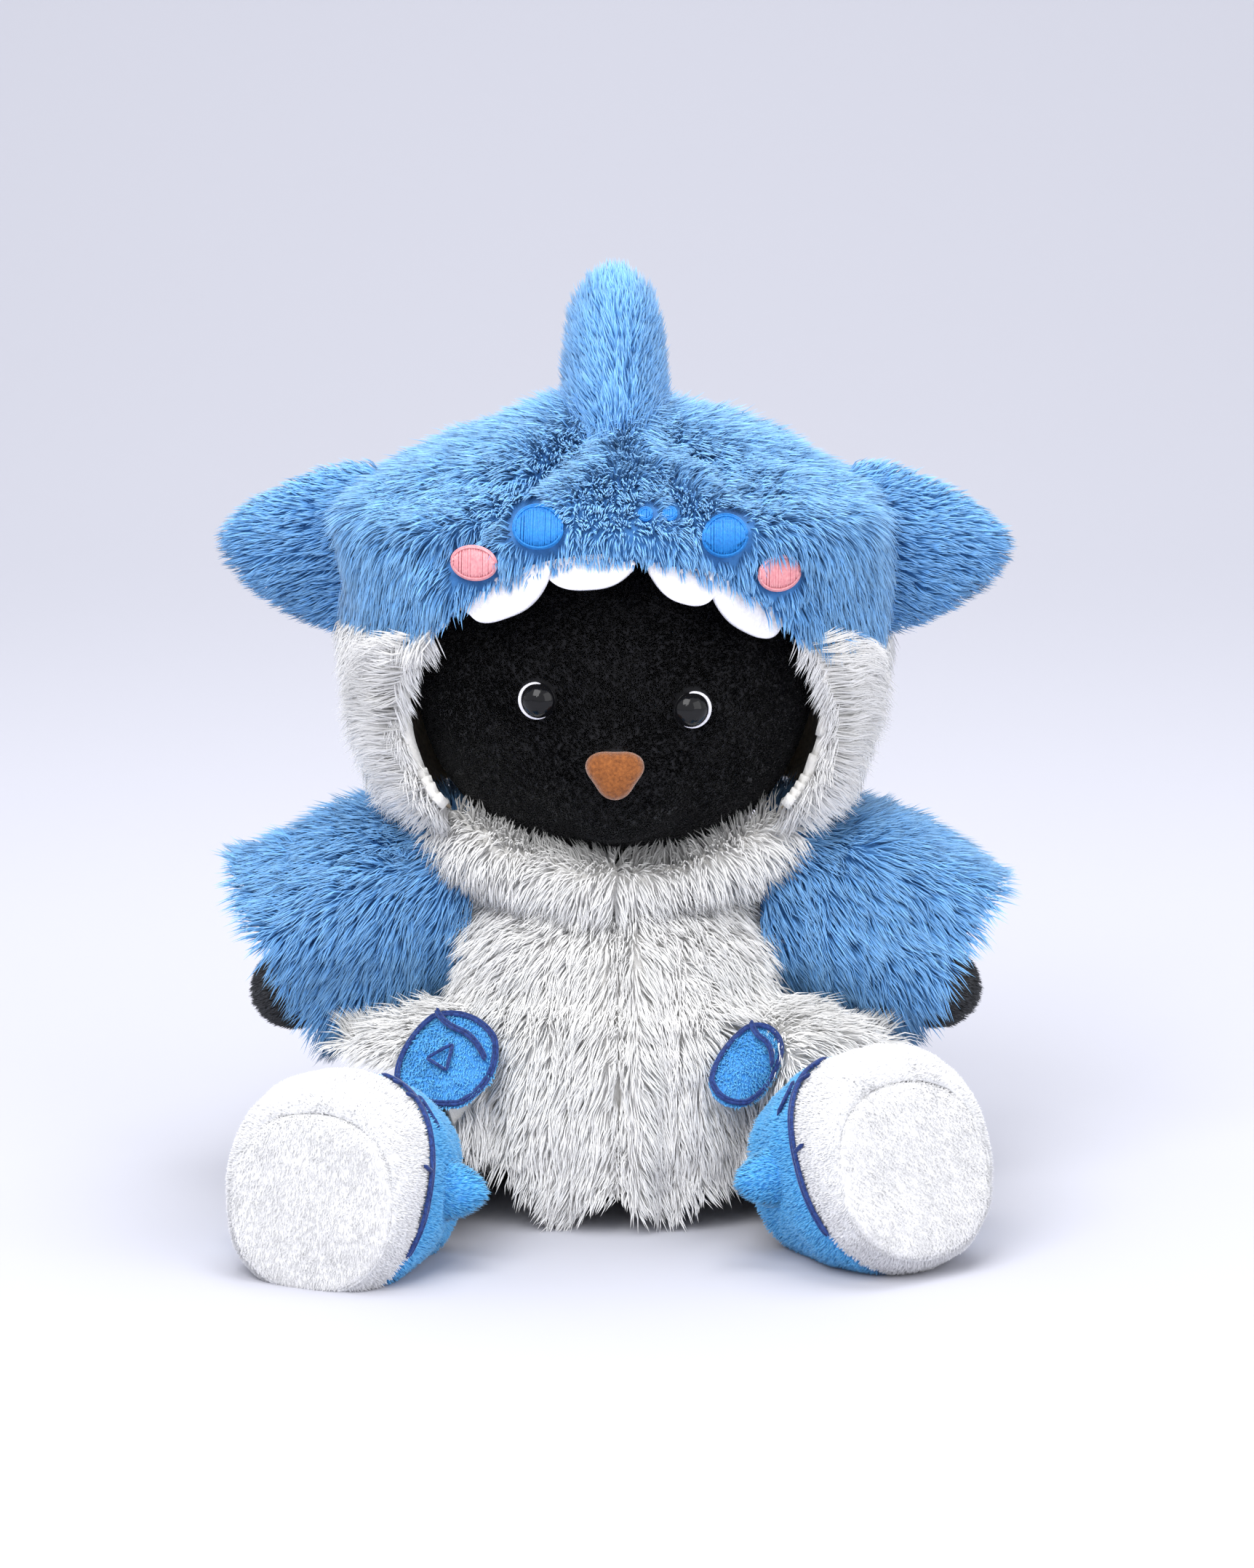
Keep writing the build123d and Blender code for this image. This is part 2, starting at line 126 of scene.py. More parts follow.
def outward(v, f, centre):
    """Turn the faces round if they look towards the centre."""
    return (v, f[:, ::-1]) if (normals(v, f) * (v - centre)).sum() < 0 else (v, f)


def keep(v, f, mask):
    """Only the faces whose middle passes mask(points)."""
    f = f[mask(v[f].mean(1))]
    used = np.unique(f)
    index = np.full(len(v), -1)
    index[used] = np.arange(len(used))
    return v[used], index[f]


def shell(v, f, thick):
    """Closed skin: the surface, a copy set in by thick, and walls round its edges."""
    n = normals(v, f)
    inner = v - n * thick
    m = len(v)
    edges = np.concatenate([f[:, [k, (k + 1) % 4]] for k in range(4)])
    keys = {}
    for a, b in edges:
        keys[(a, b)] = True
    rim = [(a, b) for a, b in keys if (b, a) not in keys]
    walls = np.array([(b, a, a + m, b + m) for a, b in rim]).reshape(-1, 4)
    return np.concatenate([v, inner]), np.concatenate([f, f[:, ::-1] + m, walls]).astype(int)


def ellipses(rows, nv=48):
    """Points on ellipses; a row is (centre, a, b, x_dir, y_dir)."""
    t = np.linspace(0, 2 * math.pi, nv, endpoint=False)
    return np.array([[np.array(c) + a * math.cos(s) * np.array(x) + b * math.sin(s) * np.array(y)
                      for s in t] for c, a, b, x, y in rows])


def smooth_rows(keys, count):
    """Catmull-Rom through rows of numbers."""
    keys = np.array(keys, float)
    n = len(keys)
    t = np.linspace(0, n - 1, count)
    i = np.clip(t.astype(int), 0, n - 2)
    f = (t - i)[:, None]
    p0, p1 = keys[np.maximum(i - 1, 0)], keys[i]
    p2, p3 = keys[i + 1], keys[np.minimum(i + 2, n - 1)]
    return 0.5 * (2 * p1 + (p2 - p0) * f + (2 * p0 - 5 * p1 + 4 * p2 - p3) * f ** 2
                  + (3 * p1 - p0 - 3 * p2 + p3) * f ** 3)


def mesh_object(name, v, f, material, smooth=True, tris=None):
    me = bpy.data.meshes.new(name)
    v = np.asarray(v, np.float32) * MM
    sets = [s for s in (f, tris) if s is not None and len(s)]
    loops = np.concatenate([s.ravel() for s in sets]).astype(np.int32)
    sizes = np.concatenate([np.full(len(s), s.shape[1]) for s in sets])
    me.vertices.add(len(v))
    me.vertices.foreach_set("co", v.ravel())
    me.loops.add(len(loops))
    me.loops.foreach_set("vertex_index", loops)
    me.polygons.add(len(sizes))
    me.polygons.foreach_set("loop_start", (np.cumsum(sizes) - sizes).astype(np.int32))
    me.update(calc_edges=True)
    me.polygons.foreach_set("use_smooth", np.full(len(sizes), smooth))
    me.validate()
    me.materials.append(material)
    o = bpy.data.objects.new(name, me)
    bpy.context.scene.collection.objects.link(o)
    return o


def place(o, body):
    """Let a piece ride on one body; a piece on the lap between the torso and a leg stays where it is, on
    no body.
    """
    if body in DRAPE:
        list(DRAPE[body])
        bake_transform(o)
    else:
        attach(o, body)


def piece(name, v, f, material, body, slot, nodes=(), smooth=True, padded=None):
    o = mesh_object(name, v, f, material, smooth)
    place(o, body)
    if nodes:
        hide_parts(*nodes)
    return o


# ---- fur --------------------
def scatter(v, f, count, rng):
    """Random points on a surface: positions and normals."""
    n = normals(v, f)
    a, b, c, d = (v[f[:, k]] for k in range(4))
    area = np.linalg.norm(np.cross(c - a, d - b), axis=1)
    pick = rng.choice(len(f), count, p=area / area.sum())
    s, t = rng.random((2, count, 1))
    q = f[pick]

    def at(arr):
        return ((1 - s) * (1 - t) * arr[q[:, 0]] + s * (1 - t) * arr[q[:, 1]]
                + s * t * arr[q[:, 2]] + (1 - s) * t * arr[q[:, 3]])
    return at(v), unit(at(n))


def fur(name, v, f, material, body, slot, per_cm2, length, width, comb, lean=0.9, clump=0.35,
        clump_size=6.0, seed=1, mask=None, scale=None, wild=0.25, soft=0.75):
    """Strands rooted on a surface, in pieces small enough to pass on whole."""
    rng = np.random.default_rng(seed)
    quads = v[f]
    area = np.linalg.norm(np.cross(quads[:, 2] - quads[:, 0], quads[:, 3] - quads[:, 1]),
                          axis=1).sum() / 200
    count = int(area * per_cm2 * (1.0))
    wide = width * 1.0
    p, n = scatter(v, f, count, rng)
    ok = np.ones(count, bool) if mask is None else mask(p)
    p, n = p[ok], n[ok]
    size = np.ones(len(p)) if scale is None else scale(p)
    size = (size * rng.uniform(0.72, 1.12, len(p)) * length)[:, None]
    c = tangent(comb(p, n), n)
    d = unit(n + lean * c + 0.45 * tangent(noise3(p, clump_size * 1.6, seed), n)
             + wild * rng.normal(size=p.shape) * 0.5)
    cell = np.floor(p / clump_size)
    jit = np.stack([hash3(cell.astype(np.int64), seed + 5 + k) for k in range(3)], -1)
    centre = (cell + 0.5 + 0.3 * jit) * clump_size
    tip = p + size * unit(d + 0.35 * c)
    pull = tangent(centre - p, n)
    tip = tip + clump * pull * np.minimum(1, size / 8)
    mid = p + 0.5 * size * d + 0.22 * (tip - p)
    mid = (p + (mid - p) * 0.86)
    root = p - n * 0.6
    side = unit(np.cross(d, unit(rng.normal(size=p.shape))))
    side2 = unit(np.cross(d, side))
    w = wide * rng.uniform(0.8, 1.25, (len(p), 1))
    ring = []
    for centre_k, k in ((root, 1.0), (mid, 0.8)):
        for a in (0, 2.094, 4.189):
            ring.append(centre_k + w * k * 0.5 * (math.cos(a) * side + math.sin(a) * side2))
    verts = np.stack(ring + [tip], 1)
    verts[..., 2] = np.maximum(verts[..., 2], 0.3)
    shade = unit(n[:, None, :] * soft + (verts - np.stack([root] * 3 + [mid] * 3 + [root], 1))
                 / wide * (1 - soft) * np.array([1] * 6 + [0])[None, :, None])
    quads = np.array([[0, 1, 4, 3], [1, 2, 5, 4], [2, 0, 3, 5]])
    tris = np.array([[3, 4, 6], [4, 5, 6], [5, 3, 6]])
    most = 21000
    out = []
    order = np.argsort(p[:, 2] + 0.001 * p[:, 0])
    parts = max(1, math.ceil(len(p) / most))
    for k, chosen in enumerate(np.array_split(order, parts)):
        m = len(chosen)
        base = (np.arange(m) * 7)[:, None, None]
        o = mesh_object(f"{name}_{k + 1}", verts[chosen].reshape(-1, 3),
                        (base + quads).reshape(-1, 4), material,
                        tris=(base + tris).reshape(-1, 3))
        me = o.data
        row = np.repeat(rng.random(m), 7)
        u = np.tile([0.02, 0.02, 0.02, 0.5, 0.5, 0.5, 0.98], m)
        uv = me.uv_layers.new(name="OFBake")
        idx = np.empty(len(me.loops), np.int32)
        me.loops.foreach_get("vertex_index", idx)
        uv.data.foreach_set("uv", np.stack([u[idx], 0.02 + 0.96 * row[idx]], -1).ravel())
        me.normals_split_custom_set_from_vertices(shade[chosen].reshape(-1, 3))
        place(o, body)
        out.append(o)
    return out


# ---- materials --------------------
def new_material(name, rough, sheen=0.0, coat=0.0, spec=0.3):
    m = bpy.data.materials.new(name)
    m.use_nodes = True
    bsdf = m.node_tree.nodes["Principled BSDF"]
    bsdf.inputs["Roughness"].default_value = rough
    bsdf.inputs["Sheen Weight"].default_value = sheen
    bsdf.inputs["Sheen Roughness"].default_value = 0.4
    bsdf.inputs["Coat Weight"].default_value = coat
    bsdf.inputs["Specular IOR Level"].default_value = spec
    return m, m.node_tree, bsdf


def ramp_node(tree, stops):
    r = tree.nodes.new("ShaderNodeValToRGB")
    els = r.color_ramp.elements
    while len(els) < len(stops):
        els.new(0.5)
    for e, (pos, col) in zip(els, stops):
        e.position, e.color = pos, (*col, 1)
    return r


def fur_material(name, root, middle, tip, rough=0.75, sheen=0.2, vary=0.14, spec=0.25):
    """Colour runs from root to tip, the darker roots painted shade between the strands and the lighter
    tips painted light, and each strand is a little lighter or darker.
    """
    m, tree, bsdf = new_material(name, rough, sheen, spec=spec)
    uv = tree.nodes.new("ShaderNodeUVMap")
    uv.uv_map = "OFBake"
    xyz = tree.nodes.new("ShaderNodeSeparateXYZ")
    tree.links.new(uv.outputs["UV"], xyz.inputs[0])
    # the ramp darkens the roots as painted shade between strands and lightens the tips as painted light
    ramp = ramp_node(tree, [(0.0, root), (0.45, middle), (1.0, tip)])
    tree.links.new(xyz.outputs["X"], ramp.inputs["Fac"])
    tone = ramp_node(tree, [(0.0, (1 - vary,) * 3), (0.6, (1.0,) * 3), (1.0, (1 + vary,) * 3)])
    tree.links.new(xyz.outputs["Y"], tone.inputs["Fac"])
    mix = tree.nodes.new("ShaderNodeMix")
    mix.data_type, mix.blend_type = "RGBA", "MULTIPLY"
    mix.inputs["Factor"].default_value = 1.0
    tree.links.new(ramp.outputs["Color"], mix.inputs["A"])
    tree.links.new(tone.outputs["Color"], mix.inputs["B"])
    tree.links.new(mix.outputs["Result"], bsdf.inputs["Base Color"])
    return m


def cloth_material(name, dark, light, size=0.004, rough=0.85, sheen=0.3, bump=0.35, fine=0.0008,
                   weave=False, spec=0.25, coat=0.0):
    """Mottled colour at one size and a fine nap or weave in the bump."""
    m, tree, bsdf = new_material(name, rough, sheen, coat, spec)
    co = tree.nodes.new("ShaderNodeTexCoord")
    n = tree.nodes.new("ShaderNodeTexNoise")
    n.inputs["Scale"].default_value = 1 / size
    n.inputs["Detail"].default_value = 4
    tree.links.new(co.outputs["Object"], n.inputs["Vector"])
    ramp = ramp_node(tree, [(0.3, dark), (0.7, light)])
    tree.links.new(n.outputs["Fac"], ramp.inputs["Fac"])
    tree.links.new(ramp.outputs["Color"], bsdf.inputs["Base Color"])
    if weave:
        g = tree.nodes.new("ShaderNodeTexWave")
        g.inputs["Scale"].default_value = 0.5 / fine
        g.inputs["Distortion"].default_value = 1.5
        height = g.outputs["Fac"]
    else:
        g = tree.nodes.new("ShaderNodeTexNoise")
        g.inputs["Scale"].default_value = 1 / fine
        g.inputs["Detail"].default_value = 3
        height = g.outputs["Fac"]
    tree.links.new(co.outputs["Object"], g.inputs["Vector"])
    b = tree.nodes.new("ShaderNodeBump")
    b.inputs["Strength"].default_value = bump
    b.inputs["Distance"].default_value = fine
    tree.links.new(height, b.inputs["Height"])
    tree.links.new(b.outputs["Normal"], bsdf.inputs["Normal"])
    return m


# fur colours go root, middle, tip: the darker roots are painted shade between the strands, the lighter
# tips painted light
WHITE_FUR = fur_material("white_fur", (0.97, 0.962, 0.94), (0.985, 0.98, 0.965), (1.0, 0.995, 0.985),
                         vary=0.0, sheen=0.6)
BLUE_FUR = fur_material("blue_fur", (0.045, 0.17, 0.43), (0.14, 0.38, 0.77), (0.31, 0.60, 0.94),
                        vary=0.22)
# black fur: the grey-blue tips are a painted highlight and the near-black roots painted shade
BLACK_FUR = fur_material("black_fur", (0.004, 0.004, 0.005), (0.010, 0.011, 0.014),
                         (0.055, 0.06, 0.07), rough=0.5, sheen=0.1, vary=0.4, spec=0.5)
VELBOA_FUR = fur_material("blue_velboa_pile", (0.04, 0.29, 0.74), (0.09, 0.45, 0.92),
                          (0.24, 0.64, 0.98))
PALE_FUR = fur_material("pale_pile", (0.78, 0.79, 0.81), (0.90, 0.90, 0.92), (0.96, 0.96, 0.97))
SOLE_FUR = fur_material("sole_pile", (0.84, 0.84, 0.85), (0.88, 0.88, 0.89), (0.93, 0.93, 0.94),
                        vary=0.03)
WHITE = cloth_material("white_backing", (0.86, 0.84, 0.80), (0.93, 0.92, 0.89), 0.006)
BLUE = cloth_material("blue_backing", (0.025, 0.11, 0.30), (0.06, 0.22, 0.52), 0.006)
BLACK = cloth_material("black_backing", (0.004, 0.004, 0.005), (0.012, 0.012, 0.015), 0.003)
VELBOA = cloth_material("blue_velboa", (0.05, 0.30, 0.76), (0.12, 0.44, 0.90), 0.003)
PALE = cloth_material("pale_velboa", (0.70, 0.71, 0.73), (0.88, 0.88, 0.90), 0.003)
SOLE = cloth_material("sole_cloth", (0.80, 0.80, 0.81), (0.86, 0.86, 0.87), 0.003)
LINING = cloth_material("lining_cloth", (0.42, 0.33, 0.24), (0.62, 0.51, 0.38), 0.002, fine=0.0006,
                        weave=True)
FELT = cloth_material("felt", (0.78, 0.77, 0.84), (0.92, 0.91, 0.96), 0.0015, bump=0.5)
STITCH_BLUE = cloth_material("blue_thread", (0.006, 0.14, 0.46), (0.018, 0.23, 0.64), 0.001,
                             rough=0.4, sheen=0.05, fine=0.0003)
STITCH_PINK = cloth_material("pink_thread", (0.72, 0.26, 0.30), (0.86, 0.42, 0.44), 0.001,
                             rough=0.4, sheen=0.05, fine=0.0003)
NAVY = cloth_material("navy_thread", (0.01, 0.02, 0.10), (0.03, 0.07, 0.26), 0.001, fine=0.0003)
EYE = cloth_material("eye_plastic", (0.004, 0.004, 0.005), (0.008, 0.008, 0.009), 0.02,
                     rough=0.1, sheen=0.0, bump=0.02, spec=0.28)
NOSE = cloth_material("flocked_nose", (0.17, 0.050, 0.010), (0.38, 0.125, 0.028), 0.0012,
                      rough=0.7, sheen=0.5, bump=0.8, fine=0.0004)
FILL = cloth_material("fibre_fill", (0.70, 0.70, 0.68), (0.88, 0.88, 0.86), 0.004, bump=0.8)
PLASTIC = cloth_material("joint_plastic", (0.70, 0.70, 0.67), (0.80, 0.80, 0.77), 0.003,
                         rough=0.4, sheen=0, bump=0.05)
STEEL = cloth_material("clip_steel", (0.45, 0.45, 0.46), (0.62, 0.62, 0.63), 0.002, rough=0.3,
                       sheen=0, bump=0.1)
STEEL.node_tree.nodes["Principled BSDF"].inputs["Metallic"].default_value = 1.0


# ---- bear --------------------
def head_surface(inset=0.0, rows=96, cols=150):
    phi = np.linspace(0.02, math.pi - 0.02, rows)[:, None]
    psi = np.linspace(0, 2 * math.pi, cols, endpoint=False)[None, :]
    d = np.stack([np.cos(phi) + 0 * psi, np.sin(phi) * np.cos(psi), np.sin(phi) * np.sin(psi)], -1)
    m = np.array([0.0, -49.0, -27.0])
    b = (d * m).sum(-1)
    disc = b * b - (m @ m - 24.0 ** 2)
    t = np.where(disc > 0, b + np.sqrt(np.maximum(disc, 0)), 0)
    r = np.log(np.exp(HEAD_R / 4) + np.exp(t / 4)) * 4
    p = HEAD_C + d * (r - inset)[..., None]
    for s in (-1, 1):
        e = eye_seat(s)[0]
        p = p - d * (0.6 * np.exp(-(np.linalg.norm(p - e, axis=-1) / 9) ** 2))[..., None]
    p = p + d * (0.4 * noise(p, 22, 3))[..., None]
    p[..., 2] = np.maximum(p[..., 2], 126.5)
    return grid(p, wrap=True)


def eye_seat(s):
    x, z = s * 25.0, HEAD_C[2] - 4 - s * 1.5
    y = -math.sqrt(HEAD_R ** 2 - x * x - (z - HEAD_C[2]) ** 2)
    return np.array([x, HEAD_C[1] + y, z]), unit(np.array([x, y, z - HEAD_C[2]]))


def lathe(profile, origin, axis, cols=40):
    """Turned piece: profile of (radius, height) along axis from origin."""
    axis = unit(np.asarray(axis, float))
    a = unit(np.cross(axis, [0.3, 0.2, 0.93]))
    b = np.cross(axis, a)
    t = np.linspace(0, 2 * math.pi, cols, endpoint=False)
    pts = np.array([[np.asarray(origin) + axis * h + r * (math.cos(s) * a + math.sin(s) * b)
                     for s in t] for r, h in profile])
    return grid(pts, wrap=True)


def capsule(p, q, r1, r2, rows=40, cols=48, lumpy=0.6):
    p, q = np.array(p, float), np.array(q, float)
    length = np.linalg.norm(q - p)
    t = np.linspace(0, math.pi, rows)
    prof = [((r1 if s < math.pi / 2 else r2) * math.sin(s) + 0.01,
             (0 if s < math.pi / 2 else length) - (r1 if s < math.pi / 2 else r2) * math.cos(s))
            for s in t]
    v, f = lathe(prof, p, q - p, cols)
    n = normals(v, f)
    return v + n * (lumpy * noise(v, 14, 5))[:, None], f


hv, hf = head_surface(0.7)
piece("head_plush", hv, hf, BLACK, "head", "black_plush", ["head_skin"], padded=0.7)


def in_opening(p, grow=0.0):
    inside = (p[..., 0] / (OPEN_A + grow)) ** 2 + ((p[..., 2] - OPEN_Z) / (OPEN_B + grow)) ** 2 < 1
    return inside & (p[..., 1] < -18)


def face_mask(p):
    ok = in_opening(p, 6)
    for s in (-1, 1):
        e, n = eye_seat(s)
        ok &= np.linalg.norm(p - e - [s * 0.8, 0, 0], axis=-1) > 7.3
    return ok & (np.linalg.norm((p - np.array([0, -79, 166])) * [1, 0.4, 1.1], axis=-1) > 8.0)


def face_comb(p, n):
    away = p - np.array([0, -75, 172])
    return unit(away) * 1.0 + np.stack([np.sign(p[:, 0]) * 0.5, 0 * p[:, 0], 0 * p[:, 0]], -1)


fur("face_pile", hv, hf, BLACK_FUR, "head", "black_plush", 430, 3.3, 0.34, face_comb, lean=1.1,
    clump=0.2, clump_size=3.0, seed=2, mask=face_mask, wild=0.35, soft=0.5)

for side, s in SIDES.items():
    e, n = eye_seat(s)
    dome = [(0.01, 5.5), (1.6, 5.35), (3.1, 4.75), (4.5, 3.7), (5.5, 2.4), (5.95, 1.4), (6.0, 1.0),
            (5.6, 0.7), (0.01, 0.7)]
    prof = smooth_rows(dome, 34)
    v, f = lathe(prof, e, n, 64)
    piece(f"eye_dome_{side}", v, f, EYE, "head", "eye_plastic", [f"eye_{side}"])
rings = []
for side, s in SIDES.items():
    e, n = eye_seat(s)
    out = tangent(np.array([s * 1.0, 0, -0.15]), n)
    prof = smooth_rows([(4.0, 0.0), (5.9, 0.0), (6.25, 0.9), (5.9, 1.9), (4.0, 2.2)], 18)
    v, f = lathe(prof, e + unit(out) * 0.7, n, 64)
    rings.append((v, f))
v = np.concatenate([r[0] for r in rings])
f = np.concatenate([rings[0][1], rings[1][1] + len(rings[0][0])])
piece("eye_felt_rings", v, f, FELT, "head", "felt", ["eye_rings"])

t = np.linspace(0, 2 * math.pi, 72, endpoint=False)
rad = 8.6 * (1 + 0.13 * np.cos(3 * t - math.pi / 2))
rows = []
for k, h in [(1.0, -1.5), (1.04, 1.0), (0.98, 3.2), (0.82, 4.9), (0.5, 5.9), (0.18, 6.2),
             (0.01, 6.25)]:
    rows.append(np.stack([rad * k * np.cos(t) * 1.03, np.full(len(t), -78.0 - h),
                          165.6 + rad * k * np.sin(t) * 0.9], -1))
v, f = grid(np.array(rows), wrap=True)
piece("nose_flocked", v, f, NOSE, "head", "nose_flock", ["nose"])

torso = smooth_rows([(0.01, 0.4), (36, 0.6), (43, 8), (45.6, 30), (42.5, 68), (39.6, 98),
                     (34, 117), (20, 123.2), (0.01, 123.6)], 70)
v, f = lathe(torso, (0, 0, 0), (0, 0, 1), 96)
v[:, 0] = np.clip(v[:, 0], -SIDE_X + 0.4, SIDE_X - 0.4)
n = normals(v, f)
v = v + n * (0.5 * noise(v, 15, 8))[:, None] * (v[:, 2:3] > 2)
piece("torso_plush", v, f, BLACK, "torso", "black_plush", ["torso_skin"], padded=0.7)

for side, s in SIDES.items():
    root, hand = np.array([s * 45, 0, 106]), np.array([s * 112, -3, 77])
    v, f = capsule(root, hand, 16.6, 12.8)
    v[:, 0] = np.where(s * v[:, 0] < 35.4, s * 35.4, v[:, 0])
    piece(f"arm_plush_{side}", v, f, BLACK, f"arm_{side}", "black_plush", [f"arm_skin_{side}"],
          padded=0.7)
    fur(f"hand_pile_{side}", v, f, BLACK_FUR, f"arm_{side}", "black_plush", 220, 3.6, 0.42,
        lambda p, n, h=hand, r=root: np.tile(unit(h - r), (len(p), 1)), seed=4,
        mask=lambda p, s=s: s * p[:, 0] > 96, clump=0.2, clump_size=3, wild=0.35, soft=0.5)


def foot_frame(side):
    s, at = SIDES[side], FOOT_AT[side]
    p, y = math.radians(FOOT_PITCH[side]), math.radians(FOOT_YAW[side])
    w = np.array([s * math.sin(y) * math.cos(p), -math.cos(y) * math.cos(p), math.sin(p)])
    u = unit(np.cross(UP, w))
    return at, u, np.cross(w, u), w


for side, s in SIDES.items():
    at, fu, fv, fw = foot_frame(side)
    body = f"leg_{side}"
    v1, f1 = capsule((s * 50, -5, 30), at - fw * 14, 23.6, 18.3, 48, 56)
    v1[:, 0] = np.where(s * v1[:, 0] < 35.4, s * 35.4, v1[:, 0])
    prof = smooth_rows([(0.01, -23.6), (16, -23), (24, -11), (25.2, 1), (23, 10.8), (14, 15.6),
                        (0.01, 15.8)], 40)
    v2, f2 = lathe(prof, at, fw, 56)
    v, f = np.concatenate([v1, v2]), np.concatenate([f1, f2 + len(v1)])
    piece(f"leg_plush_{side}", v, f, BLACK, body, "black_plush", [f"leg_skin_{side}"], padded=0.7)
    fur(f"leg_pile_{side}", v1, f1, BLACK_FUR, body, "black_plush", 70, 3.6, 0.5,
        lambda p, n, w=fw: np.tile(w, (len(p), 1)), seed=6, clump=0.2, clump_size=3, soft=0.5)

# ---- hood --------------------
HOOD_ROWS = [(130, 53), (139, 64), (151, 76.5), (166, 82), (181, 85.5), (196, 88.5), (211, 90),
             (224, 90.6), (236, 90.4), (244, 88.4), (250, 80.5), (257, 67), (264.5, 50), (272, 31),
             (277, 14), (278.5, 0.3)]


def fold(p, a, b, depth, width):
    """Crease along the line from a to b, both (x, z), seen from the front."""
    a, b = np.array(a, float), np.array(b, float)
    q = p[..., [0, 2]] - a
    t = np.clip((q @ (b - a)) / ((b - a) @ (b - a)), 0, 1)
    dist = np.linalg.norm(q - t[..., None] * (b - a), axis=-1)
    edge = np.clip(np.minimum(t, 1 - t) * 6, 0, 1)
    return -depth * np.exp(-(dist / width) ** 2) * edge * (p[..., 1] < 10)


def hood_surface(inset=0.0, rows=100, cols=264):
    keys = smooth_rows(HOOD_ROWS, rows)
    th = np.linspace(0, 2 * math.pi, cols, endpoint=False)[None, :]
    z = keys[:, :1] - (inset * step(keys[:, :1], 235, 268))
    r = np.maximum(keys[:, 1:] - inset, 0.2)
    x, y = r * np.sin(th), -r * np.cos(th)
    y = np.where(y > 0, y * 0.93, y * 0.97)
    p = np.stack([x, y, z + 0 * th], -1)
    n = unit(np.stack([x, y, 0.55 * r * step(z, 225, 275) + 0 * th], -1))
    d = 2.2 * noise(p, 34, 41) + 1.1 * noise(p, 15, 43)
    low = 1 - step(p[..., 2], 150, 205)
    d = d + low * 1.8 * np.cos(9 * th + 0.6 * np.sin(3 * th))
    d = d + fold(p, (2, 277), (-62, 232), 8.5, 5.5) + fold(p, (6, 275), (56, 250), 5.0, 6.0)
    d = d + fold(p, (12, 262), (30, 240), 2.5, 4.0) + fold(p, (-30, 262), (-78, 246), 3.0, 6.0)
    fade = np.clip(r / 20, 0, 1)
    return p + n * (d * fade)[..., None]


def over_sleeve(p):
    """The hood stops above the sleeves, except behind the neck."""
    return (p[..., 2] < 146) & (np.abs(p[..., 0]) > 0.47 * np.hypot(p[..., 0], p[..., 1]))


def hood_keep(p):
    return ~in_opening(p) & ~over_sleeve(p)


def split_line(p):
    """Height of the blue edge: level at the sides, a little wavy."""
    return SPLIT_Z + 1.5 * noise(p, 40, 77) - 4 * (p[..., 0] > 0) + 0 * p[..., 2]


HV, HF = keep(*grid(hood_surface(), wrap=True), hood_keep)
blue_v, blue_f = keep(HV, HF, lambda p: p[..., 2] >= split_line(p))
white_v, white_f = keep(HV, HF, lambda p: p[..., 2] < split_line(p))
piece("hood_blue_cloth", *shell(blue_v, blue_f, 3.5), BLUE, "head", "blue_fur", ["hood_top"],
      padded=0.2)
piece("hood_white_cloth", *shell(white_v, white_f, 3.5), WHITE, "head", "white_fur",
      ["hood_border"], padded=0.2)
LV, LF = keep(*grid(hood_surface(4.2, 70, 190), wrap=True), hood_keep)
piece("hood_lining_cloth", *shell(LV, LF, 1.0), LINING, "head", "lining", ["hood_lining"])

PATCHES = {"shark_eye_right": (-25, 247, 7.6, 5.8), "shark_eye_left": (36, 244, 6.8, 5.8),
           "cheek_right": (-46, 235, 7, 5), "cheek_left": (54, 231, 6.5, 5.2)}
NOSTRILS = [(10, 251, 1.7, 1.3), (18, 251, 1.7, 1.3)]


def off_patches(p):
    ok = np.ones(len(p), bool)
    for x, z, a, b in list(PATCHES.values()) + NOSTRILS:
        ok &= (((p[:, 0] - x) / (a + 1.6)) ** 2 + ((p[:, 2] - z) / (b + 1.6)) ** 2 > 1) | (p[:, 1] > 0)
    return ok


def hood_size(p):
    """Short nap in the middle of the forehead and round the embroidery."""
    front = (p[:, 1] < -20)
    near = np.exp(-((p[:, 0] - 5) / 42) ** 2 - ((p[:, 2] - 246) / 17) ** 2) * front
    size = 1 - 0.55 * near
    for x, z, a, b in list(PATCHES.values()) + NOSTRILS:
        d = np.hypot((p[:, 0] - x) / (a + 6), (p[:, 2] - z) / (b + 6))
        size = np.where(front & (d < 1), np.minimum(size, 0.3 + 0.4 * d), size)
    edge = np.hypot(p[:, 0] / OPEN_A, (p[:, 2] - OPEN_Z) / OPEN_B)
    return np.where(front & (edge < 1.08) & (p[:, 2] > 205), size * 0.6, size)


def hood_comb(p, n):
    down = np.array([0, 0, -1.0]) + unit(p - np.array([0, 0, 290])) * 0.5
    edge = unit(p * [1, 0, 1] - np.array([0, 0, OPEN_Z]))
    near = np.exp(-((np.hypot(p[:, 0] / OPEN_A, (p[:, 2] - OPEN_Z) / OPEN_B) - 1) / 0.22) ** 2)
    near = (near * (p[:, 1] < -20) * (p[:, 2] < 208))[:, None]
    return down * (1 - near) + near * edge * 0.9


fur("hood_blue_fur", blue_v, blue_f, BLUE_FUR, "head", "blue_fur", 105, 12.5, 0.54, hood_comb,
    lean=1.0, clump=0.4, clump_size=6.5, seed=21, mask=off_patches, scale=hood_size)
fur("hood_white_fur", white_v, white_f, WHITE_FUR, "head", "white_fur", 110, 13.5, 0.56,
    hood_comb, lean=0.8, clump=0.4, clump_size=6.5, seed=22)


def hood_front_y(x, z, inset=0.0):
    keys = smooth_rows(HOOD_ROWS, 200)
    r = np.interp(z, keys[:, 0], keys[:, 1]) - inset
    return -0.97 * np.sqrt(np.maximum(r * r - x * x, 1))


